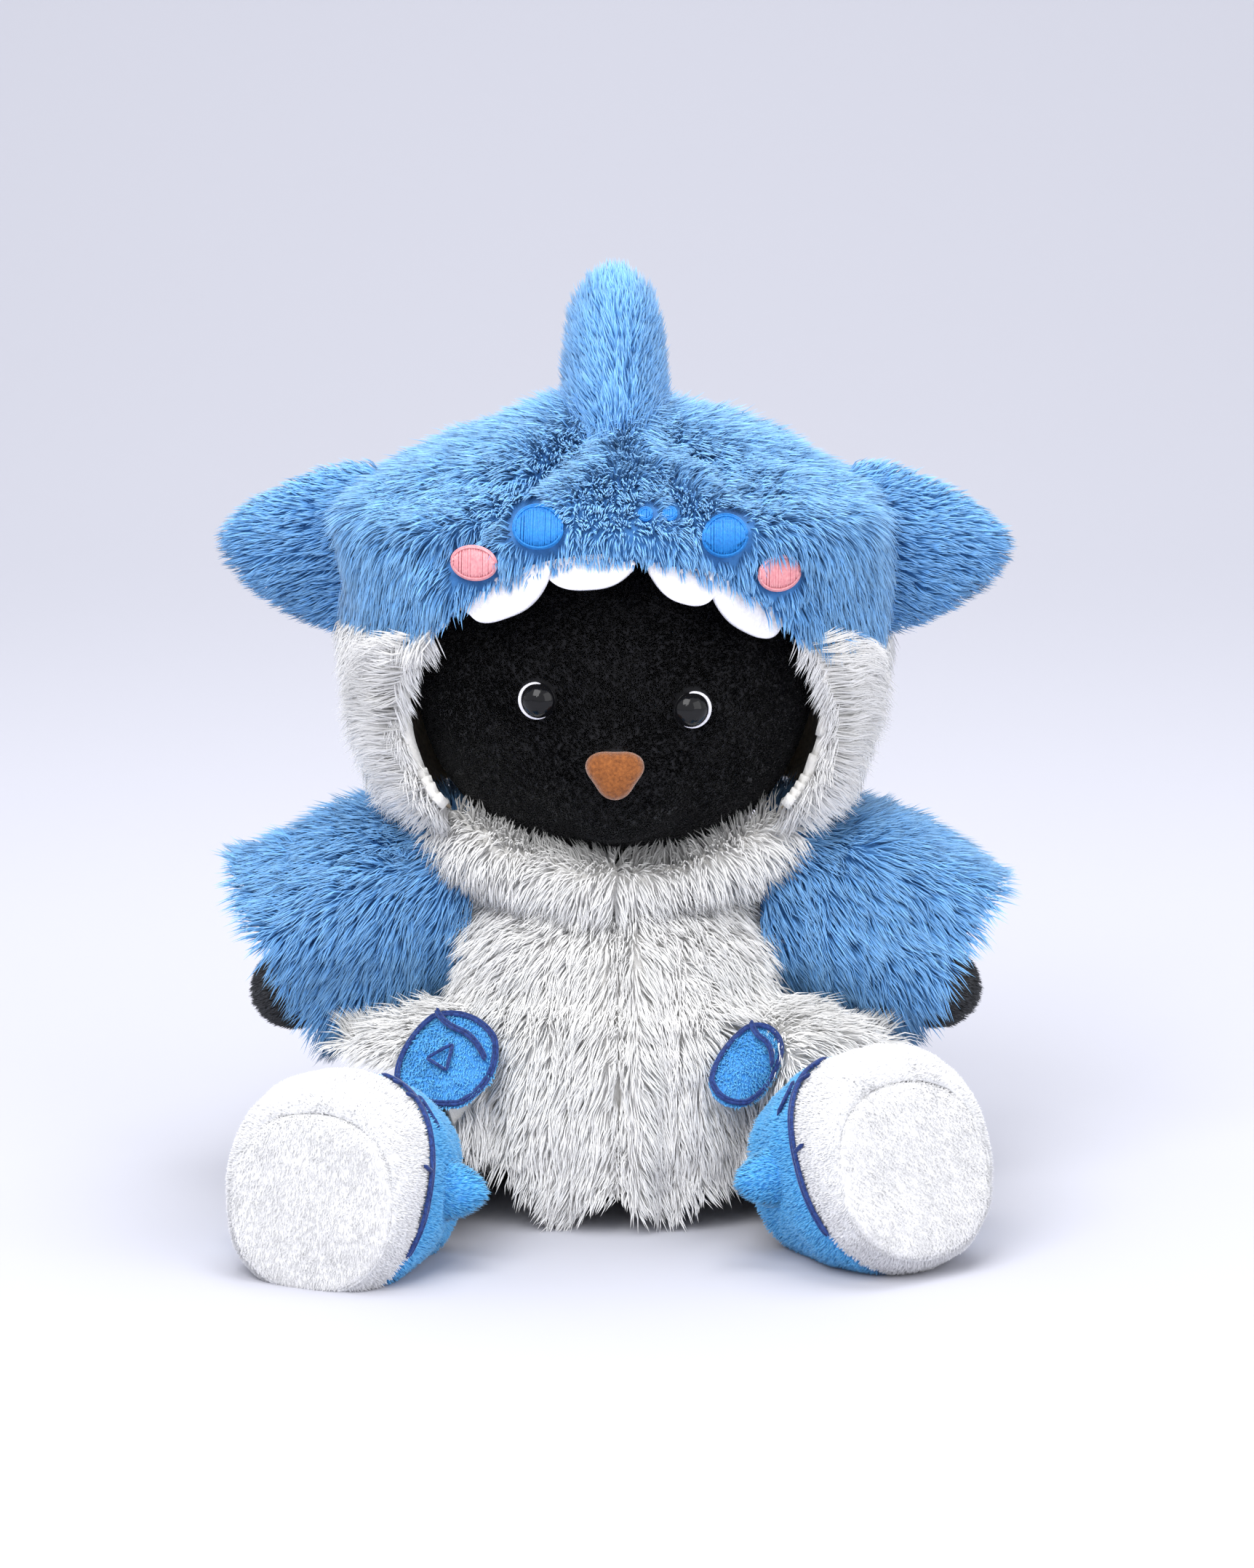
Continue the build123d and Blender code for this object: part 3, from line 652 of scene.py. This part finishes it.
def rim_strip(lo, hi, spread, inset=3.0):
    """Narrow band along the edge of the face opening, between two angles in degrees."""
    a = np.radians(np.linspace(lo, hi, 120))[:, None]
    k = np.linspace(0.995, 1 + spread, 8)[None, :]
    x, z = OPEN_A * k * np.cos(a), OPEN_Z + OPEN_B * k * np.sin(a)
    y = hood_front_y(x, z, inset * (1 - (k - 1) / spread))
    return outward(*grid(np.stack([x, y, z], -1)), np.array([0, 0, OPEN_Z]))


def rim_comb(p, n):
    inward = -unit(p * [1, 0, 1] - np.array([0, 0, OPEN_Z]))
    return inward * 0.35 + np.array([0, -0.3, -0.75])


for k, (lo, hi) in enumerate(((-38, 33), (147, 218))):
    fur(f"hood_rim_fur_{k + 1}", *rim_strip(lo, hi, 0.06), WHITE_FUR, "head", "white_fur", 150, 11.0,
        0.54, rim_comb, lean=0.8, clump=0.4, clump_size=6, seed=24 + k)


# ---- fins --------------------
def fin_piece(name, rows, body, node, comb, seed, length=7.5, per_cm2=110, lump=0.7):
    keys = smooth_rows([[*c, a, b] for c, a, b in rows[0]], 34)
    xd, yd = rows[1]
    pts = ellipses([(k[:3], max(k[3], 0.2), max(k[4], 0.2), xd, yd) for k in keys], 64)
    v, f = outward(*grid(pts, wrap=True), np.repeat(keys[:, :3], 64, 0))
    n = normals(v, f)
    v = v + n * (lump * noise(v, 11, seed))[:, None]
    piece(f"{name}_cloth", v, f, BLUE, body, "blue_fur", [node], padded=0.5)
    fur(f"{name}_fur", v, f, BLUE_FUR, body, "blue_fur", per_cm2, length, 0.55, comb, lean=0.9,
        clump=0.3, clump_size=5, seed=seed)


for side, s in SIDES.items():
    rows = [((s * 80, 0, 230), 11, 27), ((s * 91, 0, 230), 10.5, 26), ((s * 103, -1, 230.5), 9.5, 22.5),
            ((s * 115, -2, 231), 8, 16.5), ((s * 124, -2, 232 - s), 5.5, 10),
            ((s * 129, -2, 232.5 - s), 3, 4.5), ((s * 130.5, -2, 232.5 - s), 0.3, 0.4)]
    fin_piece(f"fin_{side}", (rows, ((0, 1, 0), (0, 0, 1))), "head", f"fin_{side}",
              lambda p, n, s=s: np.tile([s * 0.9, 0, -0.2], (len(p), 1)), 31)
rows = [((0, 4, 266), 14.5, 33), ((0, 5, 280), 14, 29.5), ((0, 8, 293), 13.2, 25),
        ((0, 11, 304), 12.2, 20.5), ((0, 13, 312.5), 10, 15.5), ((0, 14, 318), 6.5, 9.5),
        ((0, 14.5, 320.6), 3, 4.5), ((0, 14.5, 321.3), 0.3, 0.4)]
fin_piece("fin_dorsal", (rows, ((1, 0, 0), (0, 1, 0))), "head", "fin_dorsal",
          lambda p, n: np.tile([-0.1, 0.15, 0.8], (len(p), 1)), 33)


# ---- felt teeth --------------------
def edge_z(x):
    return OPEN_Z + OPEN_B * np.sqrt(np.maximum(1 - (x / OPEN_A) ** 2, 0))


# across the face, half width and drop of each scallop
TEETH = {"right": [(-35.5, 13.2, 12.0), (-8.5, 14.0, 8.5)],
         "left": [(23.0, 11.2, 11.0), (43.5, 12.0, 13.0)]}
for side, lobes in TEETH.items():
    vs, fs, m = [], [], 0
    for cx, a, drop in lobes:
        u, w = np.meshgrid(np.linspace(-1, 1, 44), np.linspace(0, 1, 22), indexing="ij")
        x = cx + a * u
        hem = drop * np.power(np.maximum(1 - np.abs(u) ** 2.6, 0), 0.6)
        z = edge_z(x) + 2.5 - w * (hem + 2.5)
        y = hood_front_y(x, z, 1.0) - 0.6 * w + 0.9 * w * np.sin(2.2 * u + cx) - 1.0 * w * w
        v, f = shell(*grid(np.stack([x, y, z], -1)), 1.5)
        vs.append(v)
        fs.append(f + m)
        m += len(v)
    piece(f"teeth_felt_{side}", np.concatenate(vs), np.concatenate(fs), FELT, "head", "felt",
          [f"teeth_{side}"])


# ---- embroidery --------------------
def threads(lines, radius, sides=5):
    """Round threads along polylines of points, with tapered ends, as one mesh."""
    vs, fs, m = [], [], 0
    for pts in lines:
        pts = np.asarray(pts)
        d = unit(np.gradient(pts, axis=0))
        a = unit(np.cross(d, [0.1, 0.2, 1.0]))
        b = np.cross(d, a)
        r = radius * np.clip(np.minimum(np.arange(len(pts)), np.arange(len(pts))[::-1]) + 0.25, 0, 1)
        t = np.linspace(0, 2 * math.pi, sides, endpoint=False)
        ring = pts[:, None] + r[:, None, None] * (np.cos(t)[None, :, None] * a[:, None]
                                                  + np.sin(t)[None, :, None] * b[:, None])
        v, f = grid(ring, wrap=True)
        vs.append(v)
        fs.append(f + m)
        m += len(v)
    return np.concatenate(vs), np.concatenate(fs)


def satin(name, ovals, material, slot, nodes, lift=3.0):
    """Ovals filled with close threads inside a raised rim."""
    rng = np.random.default_rng(5)
    lines = []
    for x, z, a, b in ovals:
        for px in np.arange(-a + 0.25, a, 0.5):
            h = b * math.sqrt(max(1 - (px / a) ** 2, 0)) * rng.uniform(0.93, 1.0)
            zz = np.linspace(-h, h, 9)
            xx = x + px + 0.12 * rng.normal() + 0.1 * zz / max(b, 1)
            y = hood_front_y(xx, z + zz) - lift - 0.5 * (1 - (zz / max(h, 0.1)) ** 2)
            lines.append(np.stack([xx + 0 * zz, y, z + zz], -1))
        t = np.linspace(0, 2 * math.pi, 49)
        for k in (0, 1):
            xx, zz = x + (a + 0.1 + 0.4 * k) * np.cos(t), z + (b + 0.1 + 0.4 * k) * np.sin(t)
            lines.append(np.stack([xx, hood_front_y(xx, zz) - lift + 0.5 * k, zz], -1))
        xx, zz = np.meshgrid(np.linspace(-1, 1, 2), np.linspace(-1, 1, 2))
    v, f = threads(lines, 0.42)
    backs, bf, m = [], [], len(v)
    for x, z, a, b in ovals:
        rr = []
        for k, h in ((0.02, 0.2), (0.6, 0.2), (1.0, 0.1), (1.05, -0.8), (1.05, -3.5)):
            t = np.linspace(0, 2 * math.pi, 40, endpoint=False)
            xx, zz = x + a * k * np.cos(t), z + b * k * np.sin(t)
            rr.append(np.stack([xx, hood_front_y(xx, zz) - lift + 0.3 - h, zz], -1))
        pv, pf = grid(np.array(rr), wrap=True)
        backs.append(pv)
        bf.append(pf[:, ::-1] + m)
        m += len(pv)
    piece(name, np.concatenate([v] + backs), np.concatenate([f] + bf), material, "head", slot, nodes)


for node, oval in PATCHES.items():
    blue = node.startswith("shark")
    satin(f"{node}_satin", [oval], STITCH_BLUE if blue else STITCH_PINK,
          "stitch_blue" if blue else "stitch_pink", [node])
satin("nostrils_satin", NOSTRILS, STITCH_BLUE, "stitch_blue", ["nostrils"], 2.0)

# ---- sleeves --------------------
for side, s in SIDES.items():
    rows = []
    keys = smooth_rows([(49.5, 109.5, 2, 28.5), (56, 109.5, 4, 30.5), (68, 107.5, 9, 32.2),
                        (82, 103.5, 16, 33.0), (97, 97, 24, 32.6), (113, 88.5, 31, 31.8)], 40)
    t = np.linspace(0, 2 * math.pi, 88, endpoint=False)[None, :]
    tilt = np.radians(keys[:, 2:3])
    yd = np.stack([s * np.sin(tilt), 0 * tilt, np.cos(tilt)], -1)
    c = np.stack([s * keys[:, 0], 0 * keys[:, 0], keys[:, 1]], -1)[:, None]
    r = keys[:, 3:4][..., None]
    ring = np.cos(t)[..., None] * np.array([0, -1.0, 0]) + np.sin(t)[..., None] * yd
    p = c + r * ring
    k = np.linspace(0, 1, 40)[:, None]
    d = 1.6 * noise(p, 20, 51) + 2.2 * k * np.cos(5 * t + 1.5 * s) + 0.9 * noise(p, 9, 52)
    d = d - 2.5 * np.exp(-((k - 0.35) / 0.1) ** 2) * (0.5 + 0.5 * np.sin(t + 1))
    p = p + ring * d[..., None]
    v, f = grid(p, wrap=True)
    if s > 0:
        f = f[:, ::-1]
    sv, sf = v, f
    if (normals(v, f) * unit(v - c.mean(0))).sum() < 0:
        sf = f[:, ::-1]
    piece(f"sleeve_cloth_{side}", *shell(sv, sf, 3.2), BLUE, f"arm_{side}", "blue_fur",
          [f"sleeve_{side}"], padded=0.2)
    along = unit(np.array([s * 62.0, 0, -38.0]))
    fur(f"sleeve_fur_{side}", sv, sf, BLUE_FUR, f"arm_{side}", "blue_fur", 105, 12.5, 0.54,
        lambda p, n, a=along: a * 0.7 + np.array([0, 0, -0.5]), lean=0.9, clump=0.4,
        clump_size=6.5, seed=55)


# ---- coat --------------------
CHEST = [(30, 124.8), (39.5, 121.2), (48.5, 111), (58, 98.5), (64.5, 85)]
LAP = CHEST + [(69, 79.5), (81, 75), (91, 69.5), (96, 63.5)]
DROP = CHEST + [(70.5, 76), (76, 58), (80, 30), (81, 2)]
SKIRT = [(30, 124.8), (39, 121), (45.5, 111.5), (48.6, 98), (50.5, 82), (58, 66), (68, 48),
         (78, 30), (89, 3.5)]


def coat_points(th, keys_a, keys_b=None, rows=84):
    a = smooth_rows(keys_a, rows)[:, None]
    p = np.concatenate([a[..., :1] * np.sin(th)[None, :, None], -a[..., :1] * np.cos(th)[None, :, None],
                        a[..., 1:] + 0 * th[None, :, None]], -1)
    if keys_b is not None:
        b = smooth_rows(keys_b, rows)[:, None]
        x = np.abs(b[..., :1] * np.sin(th)[None, :, None])
        w = 1 - step(x, 38, 53)
        r = a[..., :1] * (1 - w) + b[..., :1] * w
        z = a[..., 1:] * (1 - w) + b[..., 1:] * w
        p = np.concatenate([r * np.sin(th)[None, :, None], -r * np.cos(th)[None, :, None], z], -1)
    s = np.linspace(0, 1, rows)[:, None]
    out = unit(np.stack([np.sin(th), -np.cos(th), 0 * th], -1))[None]
    d = (1.4 * noise(p, 24, 61) + 0.6 * noise(p, 10, 62)) * (0.4 + s)
    d = d + 2.6 * s * s * np.cos(11 * th + 1.2 * np.sin(4 * th))[None]
    if keys_b is not None:
        x = p[..., 0] - 1.5
        d = d - 3.2 * np.exp(-(x / 3.0) ** 2) + 1.8 * np.exp(-((x - 6) / 5.0) ** 2)
    p = p + out * d[..., None]
    wide = np.where(p[..., 2] > 66, 48.5 + 40 * step(-p[..., 1], 34, 40), 120)
    p[..., 0] = np.clip(p[..., 0], -wide, wide)
    p[..., 2] += 0.8 * noise(p, 18, 63) * s
    return p


def hem_keep(p):
    """Pointed tips at the foot of the two front edges."""
    x, z = p[..., 0], p[..., 2]
    hem = np.interp(x, [-60, -46, -30, -18, -5, 3, 19, 31, 46, 60],
                    [44, 38, 27, 10, 24, 22, 15, 24, 33, 42])
    hole = np.hypot(p[..., 1], z - SHOULDER_Z) < 20
    return (z > hem) & ~(hole & (np.abs(p[..., 0]) > 34))


SPAN = math.radians(73)
FV, FF = keep(*grid(coat_points(np.linspace(-SPAN, SPAN, 190), LAP, DROP)), hem_keep)
if normals(FV, FF)[:, 1].mean() > 0:
    FF = FF[:, ::-1]
fl_v, fl_f = keep(FV, FF, lambda p: p[..., 0] >= 1.5)
fr_v, fr_f = keep(FV, FF, lambda p: p[..., 0] < 1.5)
piece("coat_cloth_left", *shell(fl_v, fl_f, 3.0), WHITE, "drape_left", "white_fur",
      ["coat_front_left"], padded=0.2)
piece("coat_cloth_right", *shell(fr_v, fr_f, 3.0), WHITE, "drape_right", "white_fur",
      ["coat_front_right"], padded=0.2)


# place, half width, half height and turn of each pocket; its face looks up and forward
POCKETS = {"right": (np.array([-56.0, -75.5, 67.5]), 16.5, 17.5, 14.0),
           "left": (np.array([43.5, -79.0, 66.5]), 9.5, 17.0, 38.0)}


def pocket_frame(side):
    c, a, b, turn = POCKETS[side]
    s, q = SIDES[side], math.radians(turn)
    across = unit(np.array([1.0, 0.28 * s, -0.05]))
    down = unit(np.array([0.15 * s, -0.66, -0.73]))
    down = unit(tangent(down, across))
    e1 = across * math.cos(q) + down * math.sin(q)
    e2 = down * math.cos(q) - across * math.sin(q)
    return c, a, b, e1, e2, np.cross(e1, e2) * np.sign(np.cross(e1, e2)[2])


def on_pocket(p):
    hit = np.zeros(len(p), bool)
    for side in SIDES:
        c, a, b, e1, e2, n = pocket_frame(side)
        q = p - c
        hit |= ((np.abs(q @ e1) / (a - 1)) ** 4 + (np.abs(q @ e2) / (b - 1)) ** 4 < 1) & (
            np.abs(q @ n) < 16)
    return hit


def coat_comb(p, n):
    away = np.stack([p[:, 0], p[:, 1], 0 * p[:, 0]], -1)
    side = np.stack([np.where(p[:, 0] < 1.5, -0.6, 0.5) * np.exp(-np.abs(p[:, 0] - 1.5) / 9),
                     0 * p[:, 0], 0 * p[:, 0]], -1)
    return np.array([0, 0, -0.9]) + 0.45 * unit(away) + side


def hem_size(p):
    """The pile is shorter along the placket and towards the hem between the legs."""
    return (1 - 0.35 * np.exp(-((p[:, 0] - 1.5) / 3.0) ** 2)) * (0.7 + 0.3 * step(p[:, 2], 12, 50))


for side, v, f, seed in (("left", fl_v, fl_f, 64), ("right", fr_v, fr_f, 65)):
    fur(f"coat_fur_{side}", v, f, WHITE_FUR, f"drape_{side}", "white_fur", 110, 13.0, 0.56, coat_comb,
        lean=0.9, clump=0.42, clump_size=7, seed=seed, mask=lambda p: ~on_pocket(p), scale=hem_size)

BACK = np.linspace(SPAN, 2 * math.pi - SPAN, 240)


def back_keep(p):
    hole = (np.hypot(p[..., 1], p[..., 2] - SHOULDER_Z) < 20) & (np.abs(p[..., 0]) > 34)
    leg = (np.abs(p[..., 0]) > 34.5) & (p[..., 1] < 21) & (p[..., 2] < 57)
    return ~hole & ~leg


BV, BF = keep(*grid(coat_points(BACK, SKIRT)), back_keep)
if (normals(BV, BF) * BV * [1, 1, 0]).sum() < 0:
    BF = BF[:, ::-1]
piece("coat_cloth_back", *shell(BV, BF, 3.0), BLUE, "torso", "blue_fur", ["coat_back"], padded=0.2)
fur("coat_fur_back", BV, BF, BLUE_FUR, "torso", "blue_fur", 70, 12.5, 0.66, coat_comb, lean=0.9,
    clump=0.4, clump_size=7, seed=66, mask=lambda p: p[:, 2] > 9)

# ruff under the chin and the folded front edge
th = np.linspace(-math.radians(67), math.radians(67), 64)
rows = []
for a in th:
    out = np.array([math.sin(a), -math.cos(a), 0])
    up = 14.0 * (abs(a) / 1.06) ** 2
    big = 7.2 - 0.1 * up + 0.9 * math.cos(7 * a) + (0.9 if a < 0 else -0.4)
    rows.append((out * (44.5 + 0.95 * up) + np.array([0, 0, 120 + up]), big, big, out, UP))
v, f = grid(ellipses(rows, 30), wrap=True)
if (normals(v, f) * (v - np.repeat([r[0] for r in rows], 30, 0))).sum() < 0:
    f = f[:, ::-1]
piece("ruff_cloth", v, f, WHITE, "torso", "white_fur", ["collar_ruff"], padded=0.4)
fur("ruff_fur", v, f, WHITE_FUR, "torso", "white_fur", 110, 12.0, 0.62,
    lambda p, n: np.array([0, -0.6, -0.7]) + 0.3 * unit(p * [1, 0, 0] + 1e-6), lean=0.8,
    clump=0.4, clump_size=6, seed=67, mask=lambda p: p[:, 1] < -8)

# ---- pockets --------------------
def rounded(along, across):
    """One coordinate of a unit square drawn in to a square with round corners."""
    return along * np.sqrt(1 - 0.42 * across ** 2)


for side in SIDES:
    c, a, b, e1, e2, nrm = pocket_frame(side)
    uu, ww = np.meshgrid(np.linspace(-1, 1, 44), np.linspace(-1, 1, 44), indexing="ij")
    round_u = rounded(uu, ww)
    round_w = rounded(ww, uu)

    def at(u, w, lift=0.0):
        """Point of the pocket at u, w in -1..1, puffed in the middle and bent round the lap."""
        q = c + e1 * (a * u)[..., None] + e2 * (b * w)[..., None]
        puff = 2.6 * (1 - u ** 2) * (1 - w ** 2) - 2.2 * u ** 2 + 1.2 * (w < 0) * w ** 2 + lift
        return q + nrm * puff[..., None]

    q = at(round_u, round_w)
    q = q + nrm * (0.7 * noise(q, 11, 71))[..., None]
    v, f = grid(q)
    if (normals(v, f) @ nrm).mean() < 0:
        f = f[:, ::-1]
    piece(f"pocket_cloth_{side}", *shell(v, f, 2.4), VELBOA, f"drape_{side}", "blue_velboa",
          [f"pocket_{side}"], padded=0.2)
    fur(f"pocket_pile_{side}", v, f, VELBOA_FUR, f"drape_{side}", "blue_velboa", 300, 2.2, 0.38,
        lambda p, n: np.array([0, -0.5, -0.7]) + 0 * p, lean=0.9, clump=0.2, clump_size=3, seed=72)
    t = np.linspace(0, 2 * math.pi, 110)
    k = 1 / np.maximum(np.abs(np.cos(t)), np.abs(np.sin(t)))
    uu, ww = np.clip(k * np.cos(t), -1, 1), np.clip(k * np.sin(t), -1, 1)
    rim_u, rim_w = rounded(uu, ww), rounded(ww, uu)
    lines = [at(rim_u * k, rim_w * k, 1.6) for k in (0.985, 0.93)]
    x = np.linspace(-0.72, 0.78, 40)
    for k in (0, 0.06):
        lines.append(at(x, -0.62 + k + 0.34 * (x / 0.78) ** 2 * np.sign(x), 2.4))
    corners = np.array([(-0.30, 0.20), (0.06, -0.26), (0.22, 0.30), (-0.30, 0.20)])
    if side == "right":
        for k in range(3):
            m = np.linspace(0, 1, 10)[:, None]
            leg = corners[k] * (1 - m) + corners[k + 1] * m
            lines.append(at(leg[:, 0], leg[:, 1], 2.4))
    v, f = threads(lines, 0.62, 6)
    piece(f"pocket_edge_{side}", v, f, NAVY, f"drape_{side}", "navy_trim", [f"pocket_trim_{side}"])

# ---- shoes --------------------
def blunt(x):
    """A sine or cosine pushed out a little, which makes an ellipse squarer."""
    return np.sign(x) * np.abs(x) ** 0.88


for side, s in SIDES.items():
    at, fu, fv, fw = foot_frame(side)
    body = f"shoe_{side}"

    inner = -s          # which way along fu the other shoe lies

    def shoe_skin(keys, low, high, rows=34, cols=112, seed=81):
        """Squarish sleeve through keys (place along the foot, half width, half height, rise);
        low and high give where it starts and ends, for each angle round the foot."""
        k = smooth_rows(keys, 80)
        t = np.linspace(0, 2 * math.pi, cols, endpoint=False)
        u, v = np.cos(t), np.sin(t)
        m = np.linspace(0, 1, rows)[:, None]
        w = low(u, v) * (1 - m) + high(u, v) * m
        a, b, rise = (np.interp(w, k[:, 0], k[:, j]) for j in (1, 2, 3))
        cu, cv = (a * blunt(u))[..., None], (b * blunt(v))
        mid = at + fw * w[..., None] + fv * rise[..., None]
        rings = mid + fu * cu + fv * cv[..., None]
        d = (0.9 * noise(rings, 15, seed) + 0.4 * noise(rings, 6, seed + 1)) * np.minimum(a / 12, 1)
        return outward(*grid(rings + unit(rings - mid) * d[..., None], wrap=True), at)

    def seam(u, v):
        """The blue comes further forward underneath and towards the other shoe."""
        return 5.0 - 8.0 * v + 7.0 * inner * u

    low = 1.6 if s < 0 else 0.4
    body_keys = [(-26, 28.0, 28.6, 0), (-22, 29.2, 29.8, 0), (-12, 31.0, 32.4, 0),
                 (-4, 32.4, 34.4, 0), (4, 33.4, 35.8, -0.4), (11, 33.8, 36.2, -low),
                 (17, 33.4, 36.0, -low), (21.5, 32.2, 34.2, -low - 0.8),
                 (24.6, 30.4, 31.2, -low - 2.6), (26.0, 29.0, 28.6, -low - 4.6)]
    sole_keys = [(24.0, 29.2, 28.8, -low - 4.8), (26.0, 28.6, 28.2, -low - 5.0),
                 (27.2, 26.6, 26.2, -low - 5.2), (27.9, 19, 19, -low - 5.4),
                 (28.15, 8, 9, -low - 5.4), (28.25, 0.2, 0.2, -low - 5.4)]
    flat_at = lambda w: lambda u, v: w + 0 * u
    upper = shoe_skin(body_keys, flat_at(-26.0), lambda u, v: seam(u, v) - 0.2)
    jaw = shoe_skin(body_keys, lambda u, v: seam(u, v) + 0.2, flat_at(26.0), seed=83)
    k = smooth_rows(sole_keys, 34)
    t = np.linspace(0, 2 * math.pi, 112, endpoint=False)
    rings = np.array([at + fw * w + fv * rise + (fu * (a * blunt(np.cos(t)))[:, None]
                                                 + fv * (b * blunt(np.sin(t)))[:, None])
                      for w, a, b, rise in k])
    rings = rings + fw * (0.7 * noise(rings, 13, 85))[..., None]
    sole = outward(*grid(rings, wrap=True), at)
    piece(f"shoe_cloth_{side}", *shell(*upper, 1.6), VELBOA, body, "blue_velboa",
          [f"shoe_upper_{side}"], padded=0.2)
    piece(f"shoe_band_{side}", *shell(*jaw, 1.6), PALE, body, "felt", [f"shoe_jaw_{side}"],
          padded=0.2)
    piece(f"shoe_sole_cloth_{side}", *shell(*sole, 2.0), SOLE, body, "sole_fabric",
          [f"shoe_sole_{side}"], padded=0.4)
    back = lambda p, n, w=fw: np.tile(-w * 0.8 + UP * -0.2, (len(p), 1))
    flat = lambda p, n: np.tile(-UP * 0.7, (len(p), 1))
    fur(f"shoe_pile_{side}", *upper, VELBOA_FUR, body, "blue_velboa", 260, 2.4, 0.38, back,
        clump=0.25, clump_size=3.5, seed=86)
    fur(f"band_pile_{side}", *jaw, PALE_FUR, body, "felt", 300, 1.7, 0.34, back, clump=0.25,
        clump_size=3.5, seed=87)
    fur(f"sole_pile_{side}", *sole, SOLE_FUR, body, "sole_fabric", 300, 1.3, 0.32, flat,
        clump=0.25, clump_size=3.5, seed=88)
    vs, fs, m = [], [], 0
    for k in (1, -1):
        rows = smooth_rows([(27, -7, 9.0, 8.5), (33, -8, 8.2, 7), (38.5, -9, 6, 5),
                            (42.5, -10, 2.4, 2.4), (43.5, -10, 0.3, 0.4)], 22)
        pts = ellipses([(at + fu * k * x + fw * w, a, b, fv, fw) for x, w, a, b in rows], 36)
        v, f = grid(pts, wrap=True)
        if (normals(v, f) * (v - (at + fu * k * 33 - fw * 11))).sum() < 0:
            f = f[:, ::-1]
        vs.append(v)
        fs.append(f + m)
        m += len(v)
    v, f = np.concatenate(vs), np.concatenate(fs)
    piece(f"shoe_fin_cloth_{side}", v, f, VELBOA, body, "blue_velboa", [f"shoe_fins_{side}"],
          padded=0.4)
    fur(f"shoe_fin_pile_{side}", v, f, VELBOA_FUR, body, "blue_velboa", 230, 3.0, 0.4,
        lambda p, n, a=at: unit(p - a), clump=0.25, clump_size=3.5, seed=89)
    def on_shoe(t, w, lift=1.4):
        """Point on the outside of the shoe, t round it and w along it."""
        k = smooth_rows(body_keys, 80)
        a, b = np.interp(w, k[:, 0], k[:, 1]), np.interp(w, k[:, 0], k[:, 2])
        x = (a + lift) * math.copysign(abs(math.cos(t)) ** 0.88, math.cos(t))
        z = (b + lift) * math.copysign(abs(math.sin(t)) ** 0.88, math.sin(t))
        return at + fw * w + fu * x + fv * z

    def round_to(degrees):
        """Angle measured from the side that faces the other shoe."""
        t = math.radians(degrees)
        return t if inner > 0 else math.pi - t

    def seam_at(t):
        return float(seam(math.cos(t), math.sin(t)))

    lines = []
    for dw in (-0.6, 0.6):
        lines.append([on_shoe(round_to(d), seam_at(round_to(d)) + dw) for d in np.linspace(-32, 78, 44)])
    for d in (8, 50, 62):
        lines.append([on_shoe(round_to(d + 0.6 * w), seam_at(round_to(d)) + w)
                      for w in np.linspace(-1, 5.5, 7)])
    lines.append([on_shoe(round_to(d), seam_at(round_to(42)) - 8 + 2.4 * math.sin((d - 30) / 24 * math.pi))
                  for d in np.linspace(30, 54, 10)])
    v, f = threads(lines, 0.75, 6)
    piece(f"shoe_mouth_{side}", v, f, NAVY, body, "navy_trim", [f"shoe_trim_{side}"])

# ---- materials of the inner pieces, which stay as they are --------------------
INNER = {"stuffing": FILL, "disc": PLASTIC, "washer": PLASTIC, "clips": STEEL, "closure": FELT}
for name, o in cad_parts.items():
    for key, material in INNER.items():
        if key in name:
            o.data.materials.clear()
            o.data.materials.append(material)

# ---- stage, light and camera --------------------
floor_v, floor_f = grid(np.array([[[x, y, z] for x in (-6000, 6000)] for y, z in
                                  [(-6000, -0.5), (900, -0.5), (1500, 60), (2000, 300), (2300, 800),
                                   (2400, 1600), (2400, 6000)]], float))
m, tree, bsdf = new_material("studio_paper", 0.95)
bsdf.inputs["Base Color"].default_value = (0.51, 0.515, 0.57, 1)
floor = mesh_object("studio_floor", floor_v, floor_f, m)
sub = floor.modifiers.new("round", "SUBSURF")
sub.levels = sub.render_levels = 3

bpy.context.scene.view_settings.view_transform = "Standard"
world = bpy.data.worlds.new("studio")
bpy.context.scene.world = world
world.use_nodes = True
world.node_tree.nodes["Background"].inputs["Color"].default_value = (0.90, 0.91, 0.96, 1)
world.node_tree.nodes["Background"].inputs["Strength"].default_value = 0.92


def area_light(name, at, size, power, aim=(0, 0, 0.15), colour=(1, 1, 1)):
    d = bpy.data.lights.new(name, "AREA")
    d.energy, d.size, d.color = power, size, colour
    o = bpy.data.objects.new(name, d)
    o.location = at
    o.rotation_euler = (Vector(aim) - Vector(at)).to_track_quat("-Z", "Y").to_euler()
    bpy.context.scene.collection.objects.link(o)


area_light("key", (-0.7, -1.3, 1.8), 1.4, 35)
area_light("glint", (-0.55, -1.5, 0.95), 0.10, 1.0)
area_light("fill", (1.4, -1.2, 0.9), 1.6, 13)
area_light("top", (0.1, 0.3, 1.9), 1.3, 28)

# degrees and metres
CAMERA_VIEW, CAMERA_TILT = 19.57, 10
CAMERA_AIM, CAMERA_DISTANCE = (0.004, 0, 0.148), 1.576

cam = bpy.data.cameras.new("camera")
cam.sensor_fit = "VERTICAL"
cam.angle = math.radians(CAMERA_VIEW)
eye = bpy.data.objects.new("camera", cam)
tilt = math.radians(CAMERA_TILT)
aim = Vector(CAMERA_AIM)
eye.location = aim + CAMERA_DISTANCE * Vector((0, -math.cos(tilt), math.sin(tilt)))
eye.rotation_euler = (aim - eye.location).to_track_quat("-Z", "Y").to_euler()
bpy.context.scene.collection.objects.link(eye)
bpy.context.scene.camera = eye
